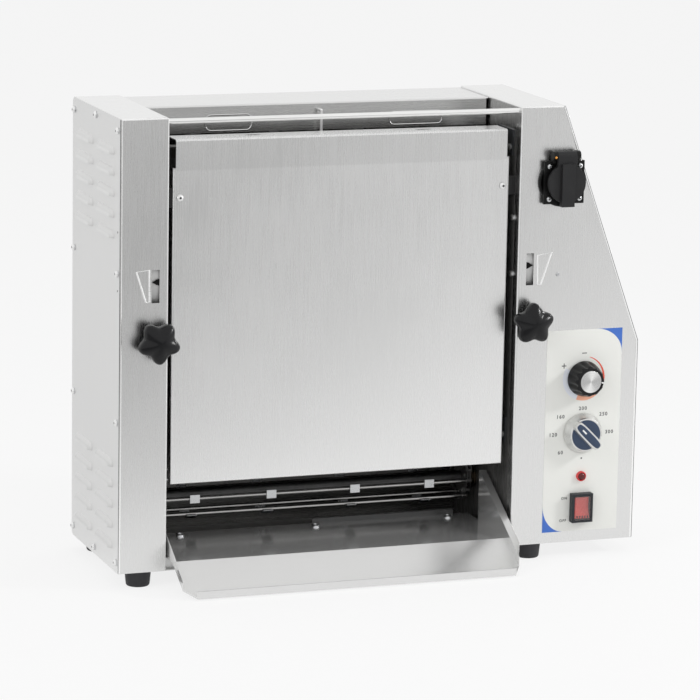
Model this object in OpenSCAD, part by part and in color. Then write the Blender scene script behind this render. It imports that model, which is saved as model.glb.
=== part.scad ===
// Vertical contact toaster for bun halves: two columns carry a heated platen behind the front door and a
// chain conveyor under the rear cover; buns drop between them on to the discharge tray.
// Lengths are in millimetres. The body is laid out with x from its left side, y from the columns' front
// faces to the rear and z from the body's underside, and is then moved to the frame of the part.

/* [Body] */
// Overall width of the body
body_w = 634; // [630:1:660]
// Depth of the body from the columns' front faces to the rear
body_d = 196; // [194:1:215]
// Height of the columns above their underside
body_h = 519; // [516:1:545]
// Width of the left column
left_w = 57; // [56:1:66]
// Width of the control column at its foot
right_w = 155; // [152:1:166]
// Width of the control column at its top
crown_w = 54; // [50:1:60]
// Height at which the control column's sloping side turns upright
shoulder_z = 239; // [230:1:246]
// Thickness of the sheet metal
sheet = 1.2; // [1:0.1:1.4]
// Width of the flanges that the covers are screwed to
flange_w = 14; // [13:1:16]
// Outer radius of the sheet metal's bends
bend_r = 2; // [1.5:0.1:2.4]
// Corner radius at the rear of the left side cover
cover_r = 7; // [4:1:10]

/* [Feet] */
// Height of the rubber feet
foot_h = 18; // [14:1:24]
// Diameter of a foot where it meets the body
foot_d = 30; // [28:1:31]
// Diameter of a foot on the table
foot_base_d = 27; // [22:1:28]
// Distance of the feet from the left side of each column
foot_x = 28; // [24:1:30]
// Distance of the feet from the front and rear faces
foot_y = 15.5; // [15.5:0.5:30]

/* [Louvres] */
// Length of a louvre
louvre_l = 66; // [50:1:70]
// Height of a louvre
louvre_h = 9; // [7:0.5:11]
// Distance that a louvre stands out
louvre_out = 4.5; // [3:0.5:6]
// Width of the ledge left round a louvre's slit
slit_rim = 0.8; // [0.5:0.1:1.5]
// Distance between louvre rows
louvre_step = 23.7; // [20:0.1:26]
// Rows in a group of louvres
louvre_rows = 5; // [3:1:5]
// Distance from the front face to the first column of louvres
louvre_y = 24; // [20:1:28]
// Distance between the two columns of louvres
louvre_gap = 20; // [12:1:22]
// Height of the lowest louvre row
louvre_z = 29; // [26:1:40]
// Distance of the upper group's lowest row below the columns' tops
louvre_drop = 133; // [130:1:148]

/* [Rear cover] */
// Depth of the rear cover from the rear face to its front lip
hood_d = 92; // [88:1:94]
// Distance of the cover's top below the columns' tops
hood_drop = 2; // [1:0.5:4]
// Height of the front lip
hood_lip = 32; // [24:1:33]
// Height of the cover's lower edge
hood_z = 2; // [1.5:0.5:40]
// Gap beside the front lip at each end
lip_gap = 3; // [2:0.5:5]
// Gap between a cover and the wall beside it
seam = 0.4; // [0.3:0.1:0.6]

/* [Front door] */
// Distance of the door behind the columns' front faces
door_in = 13.5; // [12:0.5:16]
// Gap between the door and each column
door_gap = 8.5; // [7:0.5:10]
// Height of the door's lower edge
door_z = 97; // [90:1:100]
// Distance of the door's top below the columns' tops
door_drop = 27; // [24:1:30]
// Depth of the flange bent back along the door's top
door_flange = 33; // [28:1:35]
// Depth of the flanges bent back along the door's sides and bottom
door_return = 9; // [6:1:10]
// Width of the notches in the door's upper corners
notch_w = 3.2; // [2.5:0.1:4]
// Height of the notches in the door's upper corners
notch_h = 32; // [28:1:36]
// Distance of the door screws below the door's top
door_screw_drop = 65.5; // [60:0.5:80]
// Distance of the door screws from the door's side edges
door_screw_in = 8; // [7:0.5:9]
// Length of the two slots in the top flange
hook_slot_l = 17; // [12:1:22]
// Width of the two slots in the top flange
hook_slot_w = 5; // [4:0.5:6]
// Distance of the slots behind the door's face
hook_slot_y = 20; // [16:0.5:24]
// Distance between the slots' centres
hook_slot_step = 206; // [180:1:220]

/* [Guard and divider] */
// Diameter of the guard rod across the front
guard_d = 6; // [5:0.5:7]
// Distance of the guard rod behind the columns' front faces
guard_y = 8; // [6:0.5:10]
// Distance of the guard rod below the columns' tops
guard_drop = 5; // [4:0.5:7]
// Diameter of the lane divider wire
wire_d = 3; // [2.5:0.5:4]
// Distance of the divider wire in front of the rear cover's lip
wire_out = 10; // [8:0.5:12]
// Length of the divider wire
wire_l = 358; // [200:1:380]

/* [Discharge tray] */
// Distance that the tray reaches in front of the columns
tray_out = 71; // [65:1:85]
// Height of the tray's level deck
deck_z = 15; // [13:0.5:16]
// Distance of the deck's rear edge behind the columns' front faces
deck_y = 110; // [104:1:114]
// Distance of the deck's front crease before the columns' front faces
crease_out = 18; // [12:1:20]
// Clearance under the tray's front edge
tray_clear = 1.5; // [1:0.5:4]
// Height of the front lip
tray_lip = 9; // [7:0.5:12]
// Gap between the tray's left wall and the left column
tray_gap = 2; // [1.5:0.5:4]
// Distance of the tray's right wall from the control column
tray_in = 13; // [12:0.5:15]
// Width of the flange along the top of the right wall
tray_flange = 9; // [7:0.5:10]
// Length of the slanted cut at that flange's front end
flange_cut = 20; // [12:1:24]
// Height of the tray's side walls at their front ends
tray_wall = 12.5; // [10:0.5:14]
// Slope of the side walls' top edges
tray_slope = 29.5; // [28:0.5:33]
// Distance behind the columns' front faces at which the side walls end
tray_wall_y = 72; // [60:1:80]
// Length of the left cut corner along the front lip
corner_l = 13; // [8:1:16]
// Length of the right cut corner along the front lip
corner_r = 8; // [6:1:12]
// Length of the cut corners along the sides
corner_y = 13; // [10:1:18]
// Distance of the tray screws behind the columns' front faces
tray_screw_y = 91; // [88:1:95]
// Distance of the outer tray screws from the tray's sides
tray_screw_in = 31.5; // [28:0.5:48]

/* [Heater] */
// Distance of the platen's ends from the columns
platen_gap = 16; // [15:0.5:24]
// Thickness of the platen
platen_t = 16; // [12:0.5:18]
// Distance of the platen's front behind the columns' front faces
platen_y = 52; // [51:0.5:54]
// Height of the platen's lower edge
platen_z = 110; // [106:1:120]
// Distance of the platen's top below the door's top
platen_drop = 14; // [10:1:18]
// Thickness of the release sheet
film = 0.5; // [0.4:0.1:0.8]
// Length of the release sheet's front flap
film_flap = 12; // [8:1:14]
// Diameter of the tubular heating elements
elem_d = 8; // [6:0.5:8.5]
// Distance between the two legs of an element
elem_legs = 46; // [40:1:48]
// Distance of the highest element below the platen's top
elem_drop = 51; // [49:1:52]
// Distance of the middle element below the highest one
elem_step = 147; // [146:1:150]
// Distance of the lowest element below the middle of the space left under the middle one
elem_shift = 10; // [4:1:14]
// Distance of the elements' closed ends from the platen's end
elem_in = 45; // [35:1:65]
// Distance of the insulation pad's ends from the platen's ends
pad_in = 20; // [17:1:35]
// Size of the platen brackets' wall plates
bracket_s = 30; // [26:1:32]

/* [Conveyor] */
// Pitch of the conveyor chain
chain_pitch = 12.7; // [12.7:0.1:12.9]
// Teeth of the conveyor sprockets
teeth = 12; // [11:1:12]
// Least distance of the idler shaft below the columns' tops
idler_drop = 56; // [52:1:66]
// Links from one cross rod to the next
rod_links = 2; // [2, 4]
// Distance of the front run behind the columns' front faces
run_y = 104; // [103:0.5:106]
// Height of the drive shaft
drive_z = 56; // [54:0.5:58]
// Height of the chain's links
chain_h = 7; // [6:0.5:8]
// Width of the chain
chain_w = 6; // [5:0.5:7]
// Distance of the chains from the columns
chain_in = 14; // [13:0.5:15]
// Diameter of the cross rods
rod_d = 5; // [4:0.5:6]
// Width of a clip along the rod
clip_w = 12; // [8:1:16]
// Height of a clip
clip_h = 10; // [8:1:12]
// Thickness of a clip
clip_t = 1.5; // [1:0.1:2]
// Distance of the inner clips from the centre
clip_x1 = 52; // [40:1:60]
// Distance of the outer clips from the centre
clip_x2 = 146; // [120:1:160]
// Diameter of the drive and idler shafts
shaft_d = 14; // [12:0.5:16]
// Outer diameter of the shaft bearings
bearing_d = 22; // [20:0.5:26]
// Length of the shafts beyond the column walls
shaft_out = 12; // [10:1:16]

/* [Pressure plates] */
// Clearance between the cross rods and the plates at the end of their travel
plate_clear = 1; // [0.6:0.1:1.4]
// Thickness of the plates
plate_t = 2; // [1.5:0.1:2.5]
// Height of the plates' lower edge
plate_z = 100; // [90:1:120]
// Distance of the plates' upper edge below the idler shaft
plate_drop = 52.4; // [42:0.1:70]
// Depth of the flanges along the plates' ends
plate_flange = 10; // [8:1:12]
// Gap between the plates and the chains or the centre line
plate_gap = 6; // [5:0.5:10]
// Diameter of the guide pins
pin_d = 8; // [6:0.5:10]
// Distance of the guide pins from the plate's ends
pin_in = 30; // [27:1:40]
// Travel of the plates towards the platen
press_in = 10; // [8:0.5:10]
// Travel of the plates away from the platen
press_out = 4.7; // [3:0.1:5]

/* [Thickness adjusters] */
// Distance of the star knobs and slots from the columns' inner edges
adj_in = 15; // [14:0.5:16]
// Distance of the star knobs below the columns' tops
knob_drop = 251; // [249:1:255]
// Radius to the tips of the star knob's lobes
star_r = 24.5; // [22:0.5:26]
// Radius of a lobe
lobe_r = 7; // [6:0.5:8]
// Thickness of the star
star_t = 14; // [10:1:16]
// Height of the dome on the star
star_dome = 5; // [3:0.5:7]
// Diameter of the knob's neck
neck_d = 20; // [18:0.5:24]
// Distance of the star from the column's face
neck_l = 10; // [8:0.5:12]
// Diameter of the spindle
spindle_d = 10; // [8:0.5:11]
// Length of the spindle behind its rear support
spindle_tail = 4; // [2:0.5:8]
// Outer diameter of the spindle bush
bush_d = 16; // [14:0.5:18]
// Distance of the pointers above the star knobs
pointer_rise = 66; // [64:0.5:68]
// Spare length of the pointer slots at each end of the pointers' travel
slot_slack = 1.5; // [1:0.1:2]
// Width of the pointer slots
slot_w = 9.2; // [8.8:0.1:10]
// Height of a pointer
pointer_h = 8; // [6:0.5:8]
// Distance of the pointer lever's pivot behind the column's front face
pivot_y = 62; // [60:1:64]
// Length of the pointer lever's driven arm
arm_l = 34; // [32:0.5:36]
// Diameter of the lever's pivot and drive pins
lever_pin_d = 5; // [4:0.5:6]

/* [Drive] */
// Height of the motor's output shaft
motor_z = 150; // [146:1:156]
// Size of the gearbox
gearbox_s = 70; // [68:1:74]
// Length of the gearbox
gearbox_l = 40; // [34:1:46]
// Diameter of the motor
motor_d = 58; // [50:1:64]
// Length of the motor
motor_l = 62; // [50:1:66]
// Distance from the column wall to the gearbox
standoff_l = 22; // [20:1:24]
// Diameter of the stand-offs across their flats
standoff_d = 9; // [8:0.5:10]
// Pitch radius of the drive sprockets
drive_r = 18.4; // [16:0.1:19]
// Diameter of the motor's output shaft
output_d = 10; // [8:0.5:12]

/* [Control label] */
// Distance of the label from the control column's left edge
label_x = 39.5; // [36:0.5:42]
// Width of the label
label_w = 95; // [90:0.5:97]
// Height of the label's lower edge
label_z = 13; // [10:0.5:15]
// Height of the label
label_h = 242; // [236:1:246]
// Thickness of the label
label_t = 0.4; // [0.3:0.1:0.6]
// Distance of the row of controls from the control column's left edge
ctrl_x = 87; // [84:0.5:90]

/* [Speed knob] */
// Height of the speed knob
speed_z = 196.5; // [192:0.5:200]
// Diameter of the speed knob at the panel
speed_d = 42; // [38:0.5:44]
// Diameter of the speed knob's front
speed_front_d = 34; // [30:0.5:36]
// Length of the speed knob
speed_l = 21; // [18:0.5:24]
// Diameter of the metal cap
cap_d = 26; // [22:0.5:28]
// Diameter of the knobs' stems
stem_d = 6; // [5:0.5:7]

/* [Thermostat knob] */
// Height of the thermostat knob
therm_z = 131; // [128:0.5:134]
// Diameter of the thermostat knob's skirt
skirt_d = 48; // [44:0.5:50]
// Diameter of the disc on the skirt
disc_d = 39; // [36:0.5:41]
// Length of the skirt
skirt_l = 12; // [10:0.5:14]
// Length of the grip bar
grip_l = 42; // [38:0.5:46]
// Width of the grip bar
grip_w = 9.5; // [8:0.5:11]
// Height of the grip bar
grip_h = 8; // [6:0.5:10]
// Angle of the grip bar at rest from upright
grip_turn = 45; // [30:1:60]

/* [Lamp and switch] */
// Height of the pilot lamp
lamp_z = 79; // [77:0.5:82]
// Diameter of the pilot lamp's lens
lamp_d = 12; // [10:0.5:14]
// Height of the power switch
switch_z = 40.6; // [39.5:0.1:42]
// Width of the switch frame
switch_w = 30; // [28:0.5:31]
// Height of the switch frame
switch_h = 37; // [35:0.5:38]
// Width of the rocker
rocker_w = 19; // [16:0.5:20]
// Height of the rocker
rocker_h = 27; // [24:0.5:28]
// Tilt of the rocker to either side
rocker_tilt = 8; // [6:0.5:9]

/* [Panel socket] */
// Distance of the socket from the control column's left edge
socket_x = 52; // [51.5:0.5:53]
// Distance of the socket's centre below the column's top
socket_drop = 88; // [84:0.5:91]
// Side of the square flange
socket_s = 50; // [48:0.5:51]
// Distance between the socket's screws
socket_hole_step = 38; // [37:0.5:39]
// Diameter of the round collar at the panel
collar_d = 55; // [52:0.5:56]
// Diameter of the socket's body behind the panel
socket_d = 43; // [41:0.5:44]
// Diameter of the plug well
well_d = 37; // [34:0.5:38]
// Depth of the socket behind the panel
socket_l = 34; // [30:0.5:38]
// Diameter of the lid
lid_d = 46; // [44:0.5:48]
// Width of the bar on the lid
lid_bar_w = 16; // [12:0.5:18]
// Width of the hinge
hinge_w = 34; // [30:0.5:36]

/* [Cable gland] */
// Distance of the gland from the control column's left edge
gland_x = 118; // [110:1:124]
// Height of the gland
gland_z = 42; // [38:1:50]
// Distance that the gland stands out of the rear
gland_out = 24; // [20:1:28]
// Diameter of the gland's thread
gland_d = 20; // [18:0.5:22]
// Diameter of the cable hole
gland_hole_d = 9; // [8:0.5:10]

/* [Fits] */
// Radial clearance of running fits
run_fit = 0.05; // [0.03:0.01:0.08]
// Clearance of loose holes and moving pieces
loose = 0.5; // [0.4:0.1:0.6]

/* [Hidden] */
$fn = 48;
bay_w = body_w - left_w - right_w;
bay_x0 = left_w;
bay_x1 = left_w + bay_w;
mid_x = (bay_x0 + bay_x1) / 2;
crown_x = bay_x1 + crown_w;
slant = atan((body_w - crown_x) / (body_h - shoulder_z));
mid_y = (body_d + gland_out - tray_out) / 2;
wall_l = bay_x0 - sheet;
wall_r = bay_x1 + sheet;
over = 1;
panel_cut = [-over, sheet + over];
rear_cut = [body_d - sheet - over, body_d + over];
wall_cut_l = [wall_l - over, bay_x0 + over];
wall_cut_r = [bay_x1 - over, wall_r + over];

door_top = body_h - door_drop;
door_x0 = bay_x0 + door_gap;
door_x1 = bay_x1 - door_gap;
door_back = door_in + sheet;
door_tab_l = 27;
door_tab_h = 22;
door_screw_z = door_top - door_screw_drop;
hood_y = body_d - hood_d;
hood_top = body_h - hood_drop;
wire_drop = 8;
louvre_r = (pow(louvre_h, 2) + pow(louvre_out, 2)) / (2 * louvre_out);
louvre_in = louvre_r - louvre_out;
slit_h = sqrt(pow(louvre_r - sheet, 2) - pow(louvre_in, 2)) - slit_rim;
slit_in = louvre_h + slit_rim;

knob_z = body_h - knob_drop;
pointer_z = knob_z + pointer_rise;
louvre_up_z = body_h - louvre_drop;
socket_z = body_h - socket_drop;
tray_screw_step = bay_w / 2 - tray_in - tray_screw_in;

platen_w = bay_w - 2 * platen_gap;
pad_w = platen_w - 2 * pad_in;
elem_reach = platen_w / 2 - elem_in;
platen_x0 = mid_x - platen_w / 2;
platen_x1 = mid_x + platen_w / 2;
platen_back = platen_y + platen_t;
platen_top = door_top - platen_drop;
elem_top = platen_top - elem_drop;
elem_mid = elem_top - elem_step;
elem_z = [(platen_z + elem_mid) / 2 - elem_shift, elem_mid, elem_top];
elem_tail = 6;
elem_y = platen_y - elem_d / 2;
bulb_d = 6;
bulb_l = 80;
bulb_y = platen_y + platen_t / 2;
bulb_z = (elem_z[0] + elem_z[1]) / 2;
tube_d = 2.5;
tube_step = 24;
tube_x = bay_x1 + tube_step;
bracket_t = 2;
bracket_low = 25;
bracket_high = 3;
bracket_zs = [platen_z + bracket_low, platen_top - bracket_high];
bracket_y = 22;
bracket_foot = 6;
bracket_lap = 2;
bracket_screw_in = 6;
film_in = 2;

pitch_r = chain_pitch / (2 * sin(180 / teeth));
conv_y = run_y + pitch_r;
span_room = body_h - idler_drop - drive_z;
links = rod_links * floor((2 * span_room / chain_pitch + teeth) / rod_links);
span = (links - teeth) * chain_pitch / 2;
half_turn = teeth * chain_pitch / 2;
idler_z = drive_z + span;
chain_x = [bay_x0 + chain_in, bay_x1 - chain_in];
rod_n = links / rod_links;
rod_step = rod_links * chain_pitch;
tooth_r = pitch_r - chain_h / 2 - loose;
sprocket_w = 4;
tooth_h = 4;
tooth_base = 6;
tooth_tip = 2.8;
bearing_rim = 4;
bearing_l = 4;
bearing_lip = 2;

lane_x0 = chain_x[0] + chain_w / 2 + plate_gap;
lane_x1 = mid_x - plate_gap;
plate_y = run_y + rod_d / 2 + press_in + plate_clear;
plate_back = plate_y + plate_t;
plate_h = idler_z - plate_drop - plate_z;
ear_t = 3;
ear_h = 18;
ear_lap = 20;
pin_end = conv_y + pitch_r - rod_d / 2 - press_out - 2 * plate_clear;
beam_gap = 1.3;
beam_y = plate_back + ear_t + press_out + beam_gap;
beam_h = 50;
beam_flange = 9;

adj_x = bay_x0 - adj_in;
nut_s = 18;
nut_l = 16;
link_t = 2;
link_w = 12;
link_in = 4.5;
link_x = adj_x + link_in;
link_z = pointer_z + arm_l;
lever_t = 2.5;
lever_in = 0.5;
lever_x = adj_x + lever_in;
lever_w = 6;
hub_d = 14;
slot_low = pointer_z - pivot_y * sin(press_in / arm_l * 180 / PI) - pointer_h / 2 - slot_slack;
slot_top = pointer_z + pivot_y * sin(press_out / arm_l * 180 / PI) + pointer_h / 2 + slot_slack;
adj_plate = 2;
adj_screw_y = 18;
adj_screw_low = 12;
adj_screw_high = 54;
adj_screw_zs = [pointer_z - adj_screw_low, pointer_z + adj_screw_high];
adj_edge = 7;
adj_low = adj_screw_zs[0] - adj_edge;
adj_top = adj_screw_zs[1] + adj_edge;
pivot_edge = 10;
tab_edge = 4;
pin_proud = 2;
arm_edge = 2;
rear_tab_gap = 2.8;
rear_tab_y = plate_back + nut_l + press_out + rear_tab_gap;
rear_tab_t = 3;
spindle_end = rear_tab_y + rear_tab_t + spindle_tail;
bush_rim = 22;
bush_lip = 2;
bush_l = 8;

chain2_in = 8.5;
chain2_x = wall_r + chain2_in;
chain2_w = 5;
sprocket2_w = 4;
chain2_h = 6;
tooth2_r = drive_r - chain2_h / 2 - loose;
gearbox_x = wall_r + standoff_l;
standoff_in = 7;
standoff_at = gearbox_s / 2 - standoff_in;

ctrl_cx = bay_x1 + ctrl_x;
socket_cx = bay_x1 + socket_x;
gland_cx = bay_x1 + gland_x;
gland_in = 10;
gland_nut = 6;
gland_lip = 4;
gland_hex = gland_d + 2 * gland_lip;
gland_cap_y = 8;
gland_cap_l = 10;
knob_gap = 0.5;
therm_s = 38;
therm_l = 40;
therm_y = 8;
collar_neck_d = 18;
tube_in = 8;
bulb_out = 2;
pot_d = 24;
pot_l = 16;
cap_in = 1.5;
cap_out = 0.5;
panel_bush_d = 10;
panel_bush_out = 6;
lamp_rim = 3;
lamp_dome = 2;
lamp_l = 24;
lamp_ledge = 1;
lamp_body_d = lamp_d - 2 * lamp_ledge;
switch_body_w = 24;
switch_body_h = 31;
switch_body_l = 26;
switch_rim = 3;
rocker_axis_y = 1;
rocker_out = 7;
rocker_dip = 2.6;
rocker_in = 8;
rocker_trim = 1;
rocker_well = 14;
trunnion_d = 3;
trunnion_out = 2;
trunnion_l = rocker_w + 2 * trunnion_out;
cover_t = 1;
cover_out = 9;
cover_room = 5;
lid_y = -12;
lid_t = 5;
lid_bar_t = 4;
hinge_d = 10;
hinge_pin_d = 4;
hinge_rise = 7;
hinge_z = socket_z + socket_s / 2 + hinge_rise;
hinge_y = -11;
knuckle_w = 24;
collar_t = 3;
flange_t = 4;
well_t = 2.5;
well_y = 6;
contact_step = 19;
contact_d = 5.5;
contact_y = 26;
ear_root = 2;
pin_short = 1;
lid_tab = 4;

head_d = 7.5;
small_head_d = 6;
head_h = 2;
shank_d = 3.6;
shank_l = 6;
screw_hole_d = 4;
tray_head_d = 10.5;
tray_head_h = 5;
cover_screw_in = 8;
cover_screw_low = 12;
cover_screw_high = 14;
cover_screw_shares = [0.335, 0.663];
cover_screw_zs = [cover_screw_low, body_h * cover_screw_shares[0], body_h * cover_screw_shares[1],
    body_h - cover_screw_high];
hood_screw_low = 60;
hood_screw_high = 30;
hood_screw_zs = [hood_screw_low, hood_top / 2, hood_top - hood_screw_high];
hood_tab_h = 20;
deck_rail_w = 14;

steel = [0.78, 0.78, 0.77];
dark_steel = [0.45, 0.45, 0.46];
zinc = [0.66, 0.67, 0.68];
alu = [0.83, 0.84, 0.85];
black = [0.09, 0.09, 0.1];
cream = [0.91, 0.92, 0.89];
red = [0.83, 0.16, 0.14];
bronze = [0.72, 0.6, 0.35];
wool = [0.9, 0.88, 0.8];
film_brown = [0.6, 0.45, 0.28];
slate = [0.2, 0.23, 0.3];
graphite = [0.16, 0.16, 0.17];
clear = [0.9, 0.9, 0.92, 0.4];

// Frame, axes and simple solids

module place() {
    translate([-body_w / 2, -mid_y, foot_h]) children();
}

module box(x, y, z) {
    translate([x[0], y[0], z[0]]) cube([x[1] - x[0], y[1] - y[0], z[1] - z[0]]);
}

module rod_x(x, y, z, d) {
    translate([x[0], y, z]) rotate([0, 90, 0]) cylinder(d = d, h = x[1] - x[0]);
}

module rod_y(x, y, z, d) {
    translate([x, y[0], z]) rotate([-90, 0, 0]) cylinder(d = d, h = y[1] - y[0]);
}

// A side profile in the y-z plane, drawn out along x
module side_profile(x, points) {
    translate([x[0], 0, 0]) rotate([90, 0, 90]) linear_extrude(x[1] - x[0]) polygon(points);
}

// A front profile in the x-z plane, drawn out along y
module front_profile(y) {
    translate([0, y[1], 0]) rotate([90, 0, 0]) linear_extrude(y[1] - y[0]) children();
}

// A rectangle with corners of the bends' radius
module bent(u, v) {
    translate([u[0] + bend_r, v[0]]) square([u[1] - u[0] - 2 * bend_r, v[1] - v[0]]);
    translate([u[0], v[0] + bend_r]) square([u[1] - u[0], v[1] - v[0] - 2 * bend_r]);
    for (a = [u[0] + bend_r, u[1] - bend_r], b = [v[0] + bend_r, v[1] - bend_r])
        translate([a, b]) circle(r = bend_r);
}

// Prisms over that rectangle, upright, along x and along y
module bent_z(x, y, z) {
    translate([0, 0, z[0]]) linear_extrude(z[1] - z[0]) bent(x, y);
}

module bent_x(x, y, z) {
    translate([x[0], 0, 0]) rotate([90, 0, 90]) linear_extrude(x[1] - x[0]) bent(y, z);
}

module bent_y(x, y, z) {
    front_profile(y) bent(x, z);
}

// The same piece on the other side of the bay
module other_side() {
    translate([2 * mid_x, 0, 0]) mirror([1, 0, 0]) children();
}

module both_sides() {
    children();
    other_side() children();
}

module facing_left() { rotate([0, -90, 0]) children(); }
module facing_right() { rotate([0, 90, 0]) children(); }
module facing_front() { rotate([90, 0, 0]) children(); }
module facing_rear() { rotate([-90, 0, 0]) children(); }

// A pan-head screw that stands on the plane z = 0 with its shank below
module screw() {
    cylinder(d = head_d, h = head_h, $fn = 12);
    translate([0, 0, -shank_l]) cylinder(d = shank_d, h = shank_l, $fn = 12);
}

module screw_hole() {
    translate([0, 0, -2 * shank_l]) cylinder(d = screw_hole_d, h = 3 * shank_l);
}

// Outline of the control column seen from the front, moved in by d from its outer side
function skin_x(z, d) = body_w - (z - shoulder_z) * tan(slant) - d / cos(slant);
function right_outline(d, z0, z1) = [[bay_x1, z0], [body_w - d, z0],
    [body_w - d, shoulder_z - d * tan(slant / 2)], [skin_x(z1, d), z1], [bay_x1, z1]];

// Places of the screws

module at_left_screws() {
    for (y = [cover_screw_in, body_d - cover_screw_in], z = cover_screw_zs)
        translate([0, y, z]) facing_left() children();
    translate([0, body_d / 2, body_h - cover_screw_in]) facing_left() children();
    translate([0, body_d / 2, cover_screw_in]) facing_left() children();
}

module at_right_screws() {
    for (y = [cover_screw_in, body_d - cover_screw_in], z = cover_screw_zs)
        if (z < shoulder_z)
            translate([body_w, y, z]) facing_right() children();
        else
            translate([skin_x(z, 0), y, z]) rotate([0, 90 - slant, 0]) children();
}

module at_hood_screws() {
    for (x = [bay_x0 + cover_screw_in, bay_x1 - cover_screw_in], z = hood_screw_zs)
        translate([x, body_d, z]) facing_rear() children();
}

module at_bracket_screws() {
    for (z = adj_screw_zs)
        translate([bay_x0, adj_screw_y, z]) facing_right() children();
    for (z = bracket_zs)
        translate([bay_x0 + bracket_t, bracket_y + bracket_screw_in, z - bracket_screw_in])
            facing_right() children();
}

module at_door_screws() {
    for (x = [door_x0 + door_screw_in, door_x1 - door_screw_in])
        translate([x, door_in, door_screw_z]) facing_front() children();
}

module at_tray_screws() {
    for (i = [-1:1])
        translate([mid_x + i * tray_screw_step, tray_screw_y, deck_z]) children();
}

module at_socket_screws() {
    for (x = [-1, 1], z = [-1, 1])
        translate([socket_cx + x * socket_hole_step / 2, -collar_t - flange_t,
            socket_z + z * socket_hole_step / 2]) facing_front() children();
}

// Shell

module deck_rail(y) {
    box([bay_x0 + seam, bay_x1 - seam], [y, y + sheet], [sheet, deck_z - sheet]);
    box([bay_x0 + seam, bay_x1 - seam], [y, y + deck_rail_w], [deck_z - 2 * sheet, deck_z - sheet]);
}

module base_pan() color(steel) place() difference() {
    union() {
        box([sheet, body_w - sheet], [sheet, body_d - sheet], [0, sheet]);
        box([sheet, 2 * sheet], [flange_w + seam, body_d - flange_w - seam], [0, flange_w]);
        deck_rail(flange_w / 2);
        deck_rail(tray_screw_y - deck_rail_w / 2);
    }
    at_left_screws() screw_hole();
    at_tray_screws() screw_hole();
}

// Openings in a column's inner wall for the shafts and the yoke, drawn for the left wall
module wall_openings() {
    for (z = [drive_z, idler_z])
        rod_x(wall_cut_l, conv_y, z, bearing_d + 2 * run_fit);
    box(wall_cut_l, [plate_back - press_in - loose, plate_back + ear_t + press_out + loose],
        [knob_z - ear_h / 2 - loose, knob_z + ear_h / 2 + loose]);
}

// Outside of a column with its front, top and rear bends, drawn for the left column
module column_bends() intersection() {
    bent_z([-body_w, bay_x0], [0, body_d], [0, body_h]);
    bent_x([-body_w, bay_x0], [0, body_d], [-body_h, body_h]);
    bent_y([-body_w, bay_x0], [0, body_d], [-body_h, body_h]);
}

// A column's inner wall, drawn for the left column
module inner_wall() difference() {
    box([wall_l, bay_x0], [0, body_d], [sheet, body_h]);
    wall_openings();
    at_bracket_screws() screw_hole();
}

// Tabs on the inner wall for the door and the rear cover, drawn for the left column
module wall_tabs() {
    box([wall_l, bay_x0 + door_tab_l], [door_back, door_back + sheet],
        [door_screw_z - door_tab_h / 2, door_screw_z + door_tab_h / 2]);
    for (z = hood_screw_zs)
        box([wall_l, bay_x0 + flange_w], [body_d - 2 * sheet, body_d - sheet],
            [z - hood_tab_h / 2, z + hood_tab_h / 2]);
}

// Cuts in a column's face for the spindle bush and the pointer, drawn for the left column
module adjuster_cuts() {
    rod_y(adj_x, panel_cut, knob_z, bush_d + 2 * run_fit);
    box([adj_x - slot_w / 2, adj_x + slot_w / 2], panel_cut, [slot_low, slot_top]);
}

module column_left() color(steel) place() difference() {
    union() {
        intersection() {
            union() {
                box([sheet, bay_x0], [0, sheet], [0, body_h]);
                box([sheet, bay_x0], [body_d - sheet, body_d], [0, body_h]);
                box([sheet, bay_x0], [0, body_d], [body_h - sheet, body_h]);
                box([sheet, 2 * sheet], [0, flange_w], [sheet, body_h]);
                box([sheet, 2 * sheet], [body_d - flange_w, body_d], [sheet, body_h]);
                box([sheet, 2 * sheet], [0, body_d], [body_h - flange_w, body_h]);
                inner_wall();
            }
            column_bends();
        }
        wall_tabs();
    }
    adjuster_cuts();
    at_left_screws() screw_hole();
    at_hood_screws() screw_hole();
    at_door_screws() screw_hole();
}

module right_flange(y) {
    front_profile(y) difference() {
        polygon(right_outline(sheet, sheet, body_h));
        polygon(right_outline(2 * sheet, 0, body_h + over));
    }
}

module panel_cuts() {
    rod_y(ctrl_cx, panel_cut, speed_z, panel_bush_d + 2 * run_fit);
    rod_y(ctrl_cx, panel_cut, therm_z, panel_bush_d + 2 * run_fit);
    rod_y(ctrl_cx, panel_cut, lamp_z, lamp_body_d + 2 * run_fit);
    box([ctrl_cx - switch_body_w / 2 - run_fit, ctrl_cx + switch_body_w / 2 + run_fit], panel_cut,
        [switch_z - switch_body_h / 2 - run_fit, switch_z + switch_body_h / 2 + run_fit]);
    rod_y(socket_cx, panel_cut, socket_z, socket_d + 2 * run_fit);
}

module column_right() color(steel) place() difference() {
    union() {
        intersection() {
            union() {
                for (y = [0, body_d - sheet])
                    front_profile([y, y + sheet]) polygon(right_outline(sheet, 0, body_h));
                box([bay_x1, skin_x(body_h, sheet)], [0, body_d], [body_h - sheet, body_h]);
                right_flange([0, flange_w]);
                right_flange([body_d - flange_w, body_d]);
                other_side() inner_wall();
            }
            other_side() column_bends();
        }
        other_side() wall_tabs();
    }
    other_side() adjuster_cuts();
    panel_cuts();
    at_right_screws() screw_hole();
    at_hood_screws() screw_hole();
    at_door_screws() screw_hole();
    at_socket_screws() screw_hole();
    for (z = elem_z, leg = [-1, 1])
        rod_x(wall_cut_r, elem_y, z + leg * elem_legs / 2, elem_d + 2 * loose);
    rod_x(wall_cut_r, bulb_y, bulb_z, bulb_d + 2 * loose);
    rod_y(gland_cx, rear_cut, gland_z, gland_d + 2 * run_fit);
}

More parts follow.
